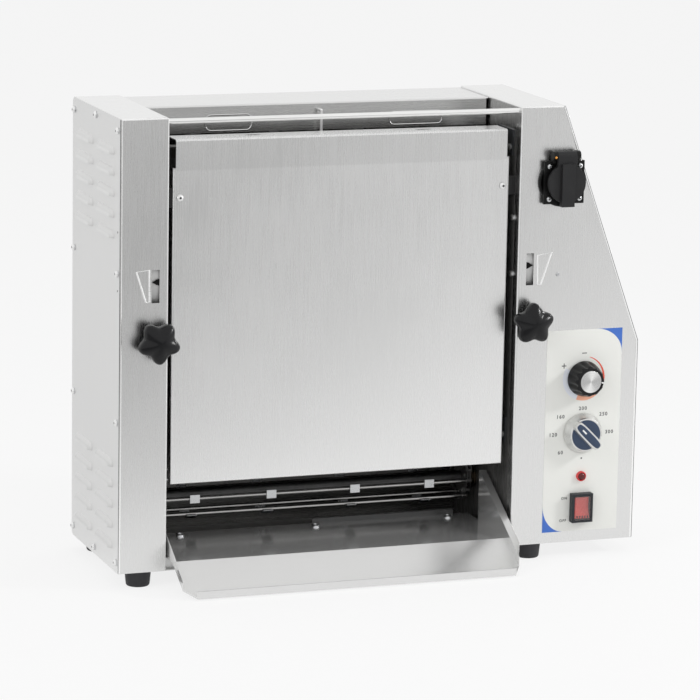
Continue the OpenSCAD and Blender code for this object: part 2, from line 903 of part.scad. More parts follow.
// A louvre pressed out to the left of the plane x = 0: part of a round bar with ball ends, open below
module louvre_bar(r) {
    ends = [louvre_h, louvre_l - louvre_h];
    translate([louvre_in, 0, -louvre_h / 2]) {
        rod_y(0, ends, 0, 2 * r);
        for (y = ends) translate([0, y, 0]) sphere(r = r);
    }
}

module louvre() difference() {
    intersection() {
        louvre_bar(louvre_r);
        box([-louvre_out - over, sheet / 2], [-over, louvre_l + over], [-louvre_h / 2, louvre_h]);
    }
    louvre_bar(louvre_r - sheet);
}

module louvre_slit() {
    box(panel_cut, [slit_in, louvre_l - slit_in], [-louvre_h / 2, slit_h - louvre_h / 2]);
}

module at_louvres(bases) {
    for (base = bases, row = [0:louvre_rows - 1], col = [0, 1])
        translate([0, louvre_y + col * (louvre_l + louvre_gap), base + row * louvre_step]) children();
}

module side_cover_left() color(steel) place() {
    difference() {
        rotate([90, 0, 90]) linear_extrude(sheet) union() {
            square([body_d - cover_r, body_h]);
            translate([0, cover_r]) square([body_d, body_h - 2 * cover_r]);
            for (z = [cover_r, body_h - cover_r])
                translate([body_d - cover_r, z]) circle(r = cover_r);
        }
        at_left_screws() screw_hole();
        at_louvres([louvre_z, louvre_up_z]) louvre_slit();
    }
    at_louvres([louvre_z, louvre_up_z]) louvre();
}

module side_cover_right() color(steel) place() {
    difference() {
        front_profile([0, body_d]) difference() {
            polygon(right_outline(0, 0, body_h));
            polygon(right_outline(sheet, -over, body_h + over));
        }
        at_right_screws() screw_hole();
        translate([body_w, 0, 0]) mirror([1, 0, 0]) at_louvres([louvre_z]) louvre_slit();
    }
    translate([body_w, 0, 0]) mirror([1, 0, 0]) at_louvres([louvre_z]) louvre();
}

module rear_cover() color(steel) place() difference() {
    intersection() {
        union() {
            box([bay_x0 + seam, bay_x1 - seam], [hood_y, body_d], [hood_top - sheet, hood_top]);
            box([bay_x0 + seam, bay_x1 - seam], [body_d - sheet, body_d], [hood_z, hood_top]);
            box([bay_x0 + lip_gap, bay_x1 - lip_gap], [hood_y, hood_y + sheet],
                [hood_top - hood_lip, hood_top]);
        }
        bent_x([bay_x0, bay_x1], [hood_y, body_d], [-body_h, hood_top]);
    }
    at_hood_screws() screw_hole();
}

module door_slots() {
    for (i = [-1, 1])
        translate([mid_x + i * hook_slot_step / 2 - hook_slot_l / 2, door_in + hook_slot_y - hook_slot_w / 2,
            door_top - 2 * sheet]) cube([hook_slot_l, hook_slot_w, 3 * sheet]);
}

module front_door() color(steel) place() difference() {
    intersection() {
        union() {
            box([door_x0, door_x1], [door_in, door_back], [door_z, door_top - notch_h]);
            box([door_x0 + notch_w, door_x1 - notch_w], [door_in, door_back], [door_z, door_top]);
            box([door_x0 + notch_w, door_x1 - notch_w], [door_in, door_in + door_flange],
                [door_top - sheet, door_top]);
            box([door_x0, door_x1], [door_in, door_back + door_return], [door_z, door_z + sheet]);
            for (x = [door_x0, door_x1 - sheet])
                box([x, x + sheet], [door_in, door_back + door_return], [door_z, door_top - notch_h]);
        }
        bent_z([door_x0, door_x1], [door_in, body_d], [door_z, door_top]);
        bent_x([door_x0, door_x1], [door_in, body_d], [door_z, door_top]);
    }
    at_door_screws() screw_hole();
    door_slots();
    box([0, body_w], [door_back, door_back + 2 * door_return],
        [door_screw_z - door_tab_h / 2 - loose, door_screw_z + door_tab_h / 2 + loose]);
}

module guard_rod() color(steel) place()
    rod_x([bay_x0, bay_x1], guard_y, body_h - guard_drop, guard_d);

module lane_divider() color(steel) place() {
    bend_y = hood_y - wire_out;
    top_z = hood_top - wire_drop;
    rod_y(mid_x, [bend_y, hood_y], top_z, wire_d);
    translate([mid_x, bend_y, top_z]) sphere(d = wire_d);
    translate([mid_x, bend_y, top_z - wire_l]) cylinder(d = wire_d, h = wire_l);
}

// Discharge tray: level deck, front slope with a lip, and side walls that rise to the rear

module bun_tray() color(steel) place() {
    x0 = bay_x0 + tray_gap + sheet;
    x1 = bay_x1 - tray_in;
    front_z = tray_clear - foot_h;
    wall_front = corner_y - tray_out;
    rise = tan(tray_slope);
    fall = (deck_z - sheet - front_z) / (tray_out - crease_out);
    wall_z = front_z + (tray_out + wall_front) * fall;
    top_z = wall_z + tray_wall - sheet;
    rear_z = top_z + (tray_wall_y - wall_front) * rise;
    difference() {
        intersection() {
            side_profile([x0 - sheet, x1 + sheet], [[deck_y, deck_z - sheet], [-crease_out, deck_z - sheet],
                [-tray_out, front_z], [-tray_out, front_z + tray_lip], [sheet - tray_out, front_z + tray_lip],
                [sheet - tray_out, front_z + 2 * sheet], [-crease_out, deck_z], [deck_y, deck_z]]);
            translate([0, 0, -foot_h]) linear_extrude(2 * foot_h + deck_z)
                polygon([[x0 - sheet, deck_y], [x0 - sheet, wall_front], [x0 + corner_l, -tray_out],
                    [x1 - corner_r, -tray_out], [x1 + sheet, wall_front], [x1 + sheet, deck_y]]);
        }
        at_tray_screws() screw_hole();
    }
    for (x = [x0 - sheet, x1])
        side_profile([x, x + sheet], [[tray_wall_y, deck_z - sheet], [-crease_out, deck_z - sheet],
            [wall_front, wall_z], [wall_front, top_z], [tray_wall_y, rear_z]]);
    intersection() {
        side_profile([x1, x1 + tray_flange], [[wall_front, top_z - sheet], [wall_front, top_z],
            [tray_wall_y, rear_z], [tray_wall_y, rear_z - sheet]]);
        translate([0, 0, -foot_h]) linear_extrude(2 * foot_h + rear_z)
            polygon([[x1, wall_front], [x1 + tray_flange, wall_front + flange_cut],
                [x1 + tray_flange, tray_wall_y], [x1, tray_wall_y]]);
    }
}

module feet() color(black) place()
    for (x = [foot_x, bay_x1 + foot_x], y = [foot_y, body_d - foot_y])
        translate([x, y, -foot_h]) cylinder(d1 = foot_base_d, d2 = foot_d, h = foot_h);

module cover_screws() color(zinc) place() {
    at_left_screws() screw();
    at_right_screws() screw();
    at_hood_screws() screw();
    both_sides() at_bracket_screws() screw();
}

module door_screws() color(zinc) place() at_door_screws() screw();

module tray_screws() color(zinc) place() at_tray_screws() {
    intersection() {
        cylinder(d = tray_head_d, h = tray_head_h);
        translate([0, 0, tray_head_h - tray_head_d]) sphere(d = 2 * tray_head_d);
    }
    translate([0, 0, -shank_l]) cylinder(d = shank_d, h = shank_l);
}

// Heater

module platen() color(alu) place() difference() {
    box([platen_x0, platen_x1], [platen_y, platen_back], [platen_z, platen_top]);
    rod_x([platen_x1 - bulb_l - loose, platen_x1 + over], bulb_y, bulb_z, bulb_d + 2 * run_fit);
}

module heating_elements() color(dark_steel) place() for (z = elem_z) {
    bend_x = mid_x - elem_reach;
    for (leg = [-1, 1])
        rod_x([bend_x, wall_r + elem_tail], elem_y, z + leg * elem_legs / 2, elem_d);
    translate([bend_x, elem_y, z]) rotate([90, 0, 0]) rotate([0, 0, 90]) rotate_extrude(angle = 180)
        translate([elem_legs / 2, 0]) circle(d = elem_d);
}

module insulation_pad() color(wool) place()
    box([mid_x - pad_w / 2, mid_x + pad_w / 2], [door_back, platen_y - elem_d],
        [platen_z, platen_top - film_flap]);

module release_sheet() color(film_brown) place()
    side_profile([platen_x0 + film_in, platen_x1 - film_in], [[platen_back, platen_z],
        [platen_back + film, platen_z], [platen_back + film, platen_top + film],
        [platen_y - film, platen_top + film],
        [platen_y - film, platen_top - film_flap], [platen_y, platen_top - film_flap],
        [platen_y, platen_top], [platen_back, platen_top]]);

module platen_brackets() color(dark_steel) place() both_sides() for (z = bracket_zs) difference() {
    union() {
        box([bay_x0, bay_x0 + bracket_t], [bracket_y, platen_back - bracket_lap],
            [z - bracket_s / 2, z + bracket_s / 2]);
        box([bay_x0, platen_x0], [platen_y + bracket_lap, platen_back - bracket_lap], [z - bracket_foot, z]);
    }
    at_bracket_screws() screw_hole();
}

// Conveyor

// A point of the chain loop, as [y, z, turn], at a distance s down the front run
function loop_at(s) =
    s < span ? [run_y, idler_z - s, 0]
    : s < span + half_turn ? let (a = 180 * (s - span) / half_turn)
        [conv_y - pitch_r * cos(a), drive_z - pitch_r * sin(a), a]
    : s < 2 * span + half_turn ? [conv_y + pitch_r, drive_z + s - span - half_turn, 180]
    : let (a = 180 * (s - 2 * span - half_turn) / half_turn)
        [conv_y + pitch_r * cos(a), idler_z + pitch_r * sin(a), 180 + a];

module stadium(r, length) {
    circle(r = r);
    translate([0, length]) circle(r = r);
    translate([-r, 0]) square([2 * r, length]);
}

// A closed chain in the y-z plane round two sprockets, one above the other
module chain_loop(x, y, z, r, length, h, w) {
    translate([x - w / 2, y, z]) rotate([90, 0, 90]) linear_extrude(w) difference() {
        stadium(r + h / 2, length);
        stadium(r - h / 2, length);
    }
}

module sprocket(x, y, z, tip, bore, w) {
    root = tip - tooth_h;
    translate([x - w / 2, y, z]) rotate([90, 0, 90]) linear_extrude(w) difference() {
        union() {
            circle(r = root);
            for (i = [0:teeth - 1]) rotate(i * 360 / teeth)
                polygon([[root - over, -tooth_base / 2], [tip, -tooth_tip / 2], [tip, tooth_tip / 2],
                    [root - over, tooth_base / 2]]);
        }
        circle(d = bore);
    }
}

module shaft(z, right_end) {
    rod_x([wall_l - shaft_out, right_end], conv_y, z, shaft_d);
}

module drive_shaft() color(zinc) place() shaft(drive_z, chain2_x + chain2_w);

module idler_shaft() color(zinc) place() shaft(idler_z, wall_r + shaft_out);

module drive_sprockets() color(zinc) place() for (x = chain_x)
    sprocket(x, conv_y, drive_z, tooth_r, shaft_d + 2 * run_fit, sprocket_w);

module idler_sprockets() color(zinc) place() for (x = chain_x)
    sprocket(x, conv_y, idler_z, tooth_r, shaft_d + 2 * run_fit, sprocket_w);

module shaft_bearings() color(bronze) place() both_sides() for (z = [drive_z, idler_z]) difference() {
    union() {
        rod_x([wall_l - bearing_lip, bay_x0 + bearing_l], conv_y, z, bearing_d);
        rod_x([bay_x0, bay_x0 + bearing_lip], conv_y, z, bearing_d + 2 * bearing_rim);
    }
    rod_x([wall_l - bearing_lip - over, bay_x0 + bearing_l + over], conv_y, z, shaft_d + 2 * run_fit);
}

module conveyor_chains() color(dark_steel) place() for (x = chain_x)
    chain_loop(x, conv_y, drive_z, pitch_r, span, chain_h, chain_w);

module conveyor_rods() color(zinc) place() for (i = [0:rod_n - 1]) {
    p = loop_at(i * rod_step);
    rod_x([chain_x[0] + chain_w / 2, chain_x[1] - chain_w / 2], p[0], p[1], rod_d);
}

module conveyor_clips() color(steel) place()
    for (i = [0:rod_n - 1], x = [-clip_x2, -clip_x1, clip_x1, clip_x2]) {
        p = loop_at(i * rod_step);
        translate([mid_x + x, p[0], p[1]]) rotate([p[2], 0, 0])
            box([-clip_w / 2, clip_w / 2], [-rod_d / 2 - clip_t, -rod_d / 2], [-clip_h / 2, clip_h / 2]);
    }

module pressure_plate() {
    box([lane_x0, lane_x1], [plate_y, plate_back], [plate_z, plate_z + plate_h]);
    for (z = [plate_z, plate_z + plate_h - plate_t])
        box([lane_x0, lane_x1], [plate_y, plate_back + plate_flange], [z, z + plate_t]);
    for (x = [lane_x0 + pin_in, lane_x1 - pin_in])
        rod_y(x, [plate_back, pin_end], knob_z, pin_d);
}

module pressure_plate_left() color(steel) place() pressure_plate();

module pressure_plate_right() color(steel) place() other_side() pressure_plate();

module cross_member() color(zinc) place() difference() {
    union() {
        box([bay_x0, bay_x1], [beam_y, beam_y + plate_t], [knob_z - beam_h / 2, knob_z + beam_h / 2]);
        for (z = [knob_z - beam_h / 2, knob_z + beam_h / 2 - plate_t])
            box([bay_x0, bay_x1], [beam_y, beam_y + beam_flange], [z, z + plate_t]);
    }
    both_sides() for (x = [lane_x0 + pin_in, lane_x1 - pin_in])
        rod_y(x, [beam_y - over, beam_y + plate_t + over], knob_z, pin_d + 2 * run_fit);
}

// Thickness adjusters, drawn for the left column

module star_knob(turn) {
    star_y = -neck_l - star_t;
    difference() {
        union() {
            rod_y(adj_x, [-neck_l, -bush_lip - knob_gap], knob_z, neck_d);
            translate([adj_x, -neck_l, knob_z]) facing_front() rotate(turn) linear_extrude(star_t) union() {
                circle(r = star_r - lobe_r);
                for (i = [0:4]) rotate(i * 72) translate([star_r - lobe_r, 0]) circle(r = lobe_r);
            }
            translate([adj_x, star_y, knob_z]) facing_front() intersection() {
                dome_r = (pow(star_r - lobe_r, 2) + pow(star_dome, 2)) / (2 * star_dome);
                cylinder(r = star_r - lobe_r, h = star_dome);
                translate([0, 0, star_dome - dome_r]) sphere(r = dome_r);
            }
        }
        rod_y(adj_x, [-neck_l - star_t / 2, 1], knob_z, spindle_d + 2 * run_fit);
    }
}

module star_knob_left() color(black) place() star_knob(-90);

module star_knob_right() color(black) place() other_side() star_knob(90);

module spindle() {
    rod_y(adj_x, [-neck_l - star_t / 2, spindle_end], knob_z, spindle_d);
}

module spindle_left() color(zinc) place() spindle();

module spindle_right() color(zinc) place() other_side() spindle();

module spindle_bushes() color(zinc) place() both_sides() difference() {
    union() {
        rod_y(adj_x, [-bush_lip, sheet + bush_l], knob_z, bush_d);
        rod_y(adj_x, [-bush_lip, 0], knob_z, bush_rim);
    }
    rod_y(adj_x, [-bush_lip - over, sheet + bush_l + over], knob_z, spindle_d + 2 * run_fit);
}

// Yoke: nut on the spindle, ear to the pressure plate, and link to the pointer lever
module adjuster_yoke() {
    link_y1 = plate_back + link_w;
    difference() {
        union() {
            box([adj_x - nut_s / 2, adj_x + nut_s / 2], [plate_back, plate_back + nut_l],
                [knob_z - nut_s / 2, knob_z + nut_s / 2]);
            box([adj_x, lane_x0 + ear_lap], [plate_back, plate_back + ear_t],
                [knob_z - ear_h / 2, knob_z + ear_h / 2]);
            side_profile([link_x, link_x + link_t], [[plate_back, knob_z], [link_y1, knob_z],
                [link_y1, link_z + link_w / 2], [pivot_y - link_w / 2, link_z + link_w / 2],
                [pivot_y - link_w / 2, link_z - link_w / 2], [plate_back, link_z - link_w / 2]]);
            rod_x([lever_x - over, link_x + link_t], pivot_y, link_z, lever_pin_d);
        }
        rod_y(adj_x, [plate_back - over, plate_back + nut_l + over], knob_z, spindle_d + 2 * run_fit);
    }
}

module adjuster_yoke_left() color(zinc) place() adjuster_yoke();

module adjuster_yoke_right() color(zinc) place() other_side() adjuster_yoke();

// Bell-crank lever whose front end shows in the slot as a pointer
module pointer() {
    lever_x1 = lever_x + lever_t;
    tip_x = adj_x - slot_w / 2 + loose;
    base_x = adj_x + slot_w / 2 - loose;
    difference() {
        union() {
            rod_x([lever_x, lever_x1], pivot_y, pointer_z, hub_d);
            box([lever_x, lever_x1], [0, pivot_y], [pointer_z - lever_w / 2, pointer_z + lever_w / 2]);
            box([lever_x, lever_x1], [pivot_y - hub_d / 2, pivot_y + hub_d / 2],
                [pointer_z, link_z + link_w / 2 + arm_edge]);
            front_profile([-loose, sheet]) polygon([[tip_x, pointer_z], [base_x, pointer_z - pointer_h / 2],
                [base_x, pointer_z + pointer_h / 2]]);
        }
        rod_x([lever_x - over, lever_x1 + over], pivot_y, pointer_z, lever_pin_d + 2 * run_fit);
        box([lever_x - over, lever_x1 + over],
            [pivot_y - lever_pin_d / 2 - loose, pivot_y + lever_pin_d / 2 + loose],
            [link_z - link_w / 2, link_z + link_w / 2]);
    }
}

module pointer_left() color(black) place() pointer();

module pointer_right() color(black) place() other_side() pointer();

module adjuster_brackets() color(zinc) place() both_sides() {
    x0 = wall_l - adj_plate;
    low_z = knob_z - nut_s / 2 - tab_edge;
    difference() {
        side_profile([x0, wall_l], [[adj_screw_y - adj_edge, adj_low], [pivot_y + pivot_edge, adj_low],
            [pivot_y + pivot_edge, adj_top - flange_w], [rear_tab_y - flange_w / 2, adj_top - flange_w],
            [rear_tab_y - flange_w / 2, low_z], [rear_tab_y + rear_tab_t, low_z],
            [rear_tab_y + rear_tab_t, adj_top], [adj_screw_y - adj_edge, adj_top]]);
        at_bracket_screws() screw_hole();
    }
    rod_x([lever_x - pin_proud, wall_l], pivot_y, pointer_z, lever_pin_d);
    difference() {
        box([adj_x - nut_s / 2, wall_l], [rear_tab_y, rear_tab_y + rear_tab_t],
            [low_z, knob_z + nut_s / 2 + tab_edge]);
        rod_y(adj_x, [rear_tab_y - over, rear_tab_y + rear_tab_t + over], knob_z, spindle_d + 2 * run_fit);
    }
}

// Drive

module gear_motor() color(dark_steel) place() difference() {
    union() {
        box([gearbox_x, gearbox_x + gearbox_l], [conv_y - gearbox_s / 2, conv_y + gearbox_s / 2],
            [motor_z - gearbox_s / 2, motor_z + gearbox_s / 2]);
        rod_x([gearbox_x + gearbox_l, gearbox_x + gearbox_l + motor_l], conv_y, motor_z, motor_d);
    }
    rod_x([gearbox_x - over, gearbox_x + gearbox_l / 2], conv_y, motor_z, output_d + 2 * run_fit);
}

module motor_standoffs() color(zinc) place()
    for (y = [-standoff_at, standoff_at], z = [-standoff_at, standoff_at])
        translate([wall_r, conv_y + y, motor_z + z]) rotate([0, 90, 0])
            cylinder(d = standoff_d, h = standoff_l, $fn = 6);

module output_shaft() color(zinc) place()
    rod_x([chain2_x - chain2_w, gearbox_x + gearbox_l / 2], conv_y, motor_z, output_d);

module motor_sprocket() color(zinc) place()
    sprocket(chain2_x, conv_y, motor_z, tooth2_r, output_d + 2 * run_fit, sprocket2_w);

module driven_sprocket() color(zinc) place()
    sprocket(chain2_x, conv_y, drive_z, tooth2_r, shaft_d + 2 * run_fit, sprocket2_w);

module drive_chain() color(dark_steel) place()
    chain_loop(chain2_x, conv_y, drive_z, drive_r, motor_z - drive_z, chain2_h, chain2_w);

// Controls

module control_label() color(cream) place() difference() {
    box([bay_x1 + label_x, bay_x1 + label_x + label_w], [-label_t, 0], [label_z, label_z + label_h]);
    panel_cuts();
}

// A control behind the panel with its bush through the panel and a stem bore
module panel_bush(z, depth) {
    rod_y(ctrl_cx, [-panel_bush_out, depth], z, panel_bush_d);
}

module speed_control() color(black) place() difference() {
    union() {
        rod_y(ctrl_cx, [sheet, sheet + pot_l], speed_z, pot_d);
        panel_bush(speed_z, sheet + over);
    }
    rod_y(ctrl_cx, [-panel_bush_out - over, sheet + pot_l / 2], speed_z, stem_d + 2 * run_fit);
}

module speed_knob() color(black) place() {
    back = -label_t - knob_gap;
    front = back - speed_l;
    difference() {
        translate([ctrl_cx, back, speed_z]) facing_front()
            cylinder(d1 = speed_d, d2 = speed_front_d, h = speed_l);
        rod_y(ctrl_cx, [-panel_bush_out - over, 0], speed_z, panel_bush_d + 2 * loose);
        rod_y(ctrl_cx, [front - over, front + cap_in], speed_z, cap_d + 2 * run_fit);
    }
    rod_y(ctrl_cx, [-panel_bush_out - 2 * over, sheet + pot_l / 2 - loose], speed_z, stem_d);
}

module speed_knob_cap() color(alu) place() {
    front = -label_t - knob_gap - speed_l;
    rod_y(ctrl_cx, [front - cap_out, front + cap_in], speed_z, cap_d);
}

// Thermostat body with the capillary that runs to the bulb in the platen
module thermostat() color(zinc) place() difference() {
    union() {
        box([ctrl_cx - therm_s / 2, ctrl_cx + therm_s / 2], [therm_y, therm_y + therm_l],
            [therm_z - therm_s / 2, therm_z + therm_s / 2]);
        rod_y(ctrl_cx, [sheet, therm_y + over], therm_z, collar_neck_d);
        panel_bush(therm_z, therm_y + over);
        tube_y = therm_y + therm_l - tube_in;
        rod_x([platen_x1 - bulb_l, platen_x1 + bulb_out], bulb_y, bulb_z, bulb_d);
        rod_x([platen_x1, tube_x], bulb_y, bulb_z, tube_d);
        translate([tube_x, bulb_y, bulb_z]) sphere(d = tube_d);
        rod_y(tube_x, [tube_y, bulb_y], bulb_z, tube_d);
        translate([tube_x, tube_y, bulb_z]) sphere(d = tube_d);
        translate([tube_x, tube_y, therm_z]) cylinder(d = tube_d, h = bulb_z - therm_z);
        translate([tube_x, tube_y, therm_z]) sphere(d = tube_d);
        rod_x([tube_x, ctrl_cx], tube_y, therm_z, tube_d);
    }
    rod_y(ctrl_cx, [-panel_bush_out - over, therm_y + therm_l / 2], therm_z, stem_d + 2 * run_fit);
}

module thermostat_knob() color(slate) place() {
    back = -label_t - knob_gap;
    difference() {
        union() {
            translate([ctrl_cx, back, therm_z]) facing_front()
                cylinder(d1 = skirt_d, d2 = disc_d, h = skirt_l);
            translate([ctrl_cx, back - skirt_l - grip_h, therm_z]) rotate([0, -grip_turn, 0])
                box([-grip_w / 2, grip_w / 2], [0, grip_h + over], [-grip_l / 2, grip_l / 2]);
        }
        rod_y(ctrl_cx, [-panel_bush_out - over, 0], therm_z, panel_bush_d + 2 * loose);
    }
    rod_y(ctrl_cx, [-panel_bush_out - 2 * over, therm_y + therm_l / 2 - loose], therm_z, stem_d);
}

module pilot_lamp() color(red) place() {
    rod_y(ctrl_cx, [-label_t - lamp_rim, -label_t], lamp_z, lamp_d);
    translate([ctrl_cx, -label_t - lamp_rim, lamp_z]) intersection() {
        dome_r = (pow(lamp_d / 2, 2) + pow(lamp_dome, 2)) / (2 * lamp_dome);
        rod_y(0, [-lamp_dome, 0], 0, lamp_d);
        translate([0, dome_r - lamp_dome, 0]) sphere(r = dome_r);
    }
    rod_y(ctrl_cx, [-label_t, lamp_l], lamp_z, lamp_body_d);
}

module power_switch() color(black) place() difference() {
    union() {
        box([ctrl_cx - switch_w / 2, ctrl_cx + switch_w / 2], [-label_t - switch_rim, -label_t],
            [switch_z - switch_h / 2, switch_z + switch_h / 2]);
        box([ctrl_cx - switch_body_w / 2, ctrl_cx + switch_body_w / 2], [-label_t - over, switch_body_l],
            [switch_z - switch_body_h / 2, switch_z + switch_body_h / 2]);
    }
    box([ctrl_cx - rocker_w / 2 - loose, ctrl_cx + rocker_w / 2 + loose],
        [-label_t - switch_rim - over, rocker_well],
        [switch_z - rocker_h / 2 - loose, switch_z + rocker_h / 2 + loose]);
    rod_x([ctrl_cx - switch_w / 2, ctrl_cx + switch_w / 2], rocker_axis_y, switch_z,
        trunnion_d + 2 * run_fit);
}

// Rocker with its trunnions, which turn in the switch frame's side walls
module power_rocker() color(red) place()
    translate([ctrl_cx, rocker_axis_y, switch_z]) rotate([-rocker_tilt, 0, 0]) {
        half = rocker_h / 2 - rocker_trim;
        side_profile([-rocker_w / 2, rocker_w / 2], [[-rocker_out, -half], [rocker_dip - rocker_out, 0],
            [-rocker_out, half], [0, half], [rocker_in, 0], [0, -half]]);
        rod_x([-trunnion_l / 2, trunnion_l / 2], 0, 0, trunnion_d);
    }

module switch_cover() color(clear) place() {
    w = rocker_w + cover_room;
    h = rocker_h + cover_room;
    y1 = -label_t - switch_rim;
    difference() {
        box([ctrl_cx - w / 2, ctrl_cx + w / 2], [y1 - cover_out, y1], [switch_z - h / 2, switch_z + h / 2]);
        box([ctrl_cx - w / 2 + cover_t, ctrl_cx + w / 2 - cover_t], [y1 - cover_out + cover_t, y1 + over],
            [switch_z - h / 2 + cover_t, switch_z + h / 2 - cover_t]);
    }
}

// Panel socket, with its hinge ears and pin above the flange
module socket_body() color(black) place() {
    face = -collar_t - flange_t;
    difference() {
        union() {
            rod_y(socket_cx, [-collar_t, 0], socket_z, collar_d);
            box([socket_cx - socket_s / 2, socket_cx + socket_s / 2], [face, -collar_t],
                [socket_z - socket_s / 2, socket_z + socket_s / 2]);
            rod_y(socket_cx, [lid_y + knob_gap, 0], socket_z, well_d + 2 * well_t);
            rod_y(socket_cx, [-over, socket_l], socket_z, socket_d);
        }
        rod_y(socket_cx, [lid_y - over, well_y], socket_z, well_d);
        for (i = [-1, 1])
            rod_y(socket_cx + i * contact_step / 2, [well_y - over, contact_y], socket_z, contact_d);
        at_socket_screws() screw_hole();
    }
    for (i = [-1, 1]) {
        x = socket_cx + i * (hinge_w + knuckle_w) / 4;
        w = (hinge_w - knuckle_w) / 2 - knob_gap;
        rod_x([x - w / 2, x + w / 2], hinge_y, hinge_z, hinge_d);
        box([x - w / 2, x + w / 2], [hinge_y, face + ear_root],
            [socket_z + socket_s / 2 - ear_root, hinge_z + hinge_d / 2]);
    }
    rod_x([socket_cx - hinge_w / 2 + pin_short, socket_cx + hinge_w / 2 - pin_short], hinge_y, hinge_z,
        hinge_pin_d);
}

module socket_lid() color(graphite) place() difference() {
    union() {
        rod_y(socket_cx, [lid_y - lid_t, lid_y], socket_z, lid_d);
        box([socket_cx - lid_bar_w / 2, socket_cx + lid_bar_w / 2], [lid_y - lid_t - lid_bar_t, lid_y - over],
            [socket_z - lid_d / 2 - lid_tab, socket_z + lid_d / 2]);
        box([socket_cx - knuckle_w / 2, socket_cx + knuckle_w / 2], [lid_y - lid_t, lid_y],
            [socket_z, hinge_z]);
        rod_x([socket_cx - knuckle_w / 2, socket_cx + knuckle_w / 2], hinge_y, hinge_z, hinge_d);
    }
    rod_x([socket_cx - hinge_w, socket_cx + hinge_w], hinge_y, hinge_z, hinge_pin_d + 2 * run_fit);
}

module socket_screws() color(zinc) place() at_socket_screws() {
    cylinder(d = small_head_d, h = head_h, $fn = 12);
    translate([0, 0, -3 * shank_l]) cylinder(d = shank_d, h = 3 * shank_l, $fn = 12);
}

module cable_gland() color(black) place() difference() {
    union() {
        rod_y(gland_cx, [body_d - sheet - gland_in, body_d + gland_out], gland_z, gland_d);
        translate([gland_cx, body_d, gland_z]) facing_rear() cylinder(d = gland_hex, h = gland_nut, $fn = 6);
        translate([gland_cx, body_d + gland_cap_y, gland_z]) facing_rear()
            cylinder(d = gland_hex, h = gland_cap_l, $fn = 6);
        translate([gland_cx, body_d - sheet - gland_nut, gland_z]) facing_rear()
            cylinder(d = gland_hex, h = gland_nut, $fn = 6);
    }
    rod_y(gland_cx, [body_d - sheet - gland_in - over, body_d + gland_out + over], gland_z, gland_hole_d);
}

base_pan();
column_left();
column_right();
side_cover_left();
side_cover_right();
rear_cover();
front_door();
guard_rod();
lane_divider();
bun_tray();
feet();
cover_screws();
door_screws();
tray_screws();
platen();
heating_elements();
insulation_pad();
release_sheet();
platen_brackets();
drive_shaft();
drive_sprockets();
idler_shaft();
idler_sprockets();
shaft_bearings();
conveyor_chains();
conveyor_rods();
conveyor_clips();
pressure_plate_left();
pressure_plate_right();
cross_member();
star_knob_left();
star_knob_right();
spindle_left();
spindle_right();
adjuster_yoke_left();
adjuster_yoke_right();
pointer_left();
pointer_right();
adjuster_brackets();
spindle_bushes();
gear_motor();
motor_standoffs();
output_shaft();
motor_sprocket();
driven_sprocket();
drive_chain();
control_label();
speed_control();
speed_knob();
speed_knob_cap();
thermostat();
thermostat_knob();
pilot_lamp();
power_switch();
power_rocker();
switch_cover();
socket_body();
socket_lid();
socket_screws();
cable_gland();
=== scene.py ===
"""Looks of the vertical contact toaster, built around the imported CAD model.

Places and sizes are in millimetres in the body's own axes, as in the part's source: x from the left side,
y from the columns' front faces to the rear, z from the underside. at() turns them into the frame's metres.
Tiny lengths, and the floor and lamps, are in metres.
"""
import math

import bmesh
import bpy
import numpy as np
from mathutils import Matrix, Vector


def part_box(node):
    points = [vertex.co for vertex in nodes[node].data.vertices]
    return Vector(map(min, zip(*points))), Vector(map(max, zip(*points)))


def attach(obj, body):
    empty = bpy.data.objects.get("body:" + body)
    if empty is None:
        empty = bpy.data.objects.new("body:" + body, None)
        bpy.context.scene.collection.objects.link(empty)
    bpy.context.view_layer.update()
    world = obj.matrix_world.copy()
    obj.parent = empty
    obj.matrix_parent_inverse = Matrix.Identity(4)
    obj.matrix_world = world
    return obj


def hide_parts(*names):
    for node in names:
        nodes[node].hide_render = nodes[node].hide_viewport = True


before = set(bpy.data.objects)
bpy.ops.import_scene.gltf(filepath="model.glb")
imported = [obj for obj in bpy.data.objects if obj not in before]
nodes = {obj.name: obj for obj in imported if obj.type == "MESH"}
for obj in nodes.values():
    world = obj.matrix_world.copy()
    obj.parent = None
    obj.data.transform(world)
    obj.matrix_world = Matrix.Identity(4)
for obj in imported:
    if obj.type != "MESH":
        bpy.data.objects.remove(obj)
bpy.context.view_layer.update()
scene = bpy.context.scene
scene.view_settings.view_transform = "Standard"

# The body's axes, and places that several pieces share

body_w = 634
pan_low, pan_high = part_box("base_pan")
origin = Vector(((pan_low[0] + pan_high[0]) / 2 - body_w / 2000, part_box("column_left")[0][1], pan_low[2]))
knob_x = {"left": 42, "right": 494}
panel_x, speed_z, dial_z, lamp_z = 566, 196.5, 131, 79


def at(x, y, z):
    """A place in the frame, from the body's millimetres."""
    return origin + Vector((x, y, z)) / 1000


def in_mm(place):
    """A place in the body's millimetres, from the frame's metres."""
    return (Vector(place) - origin) * 1000


# Camera at the photograph's angle

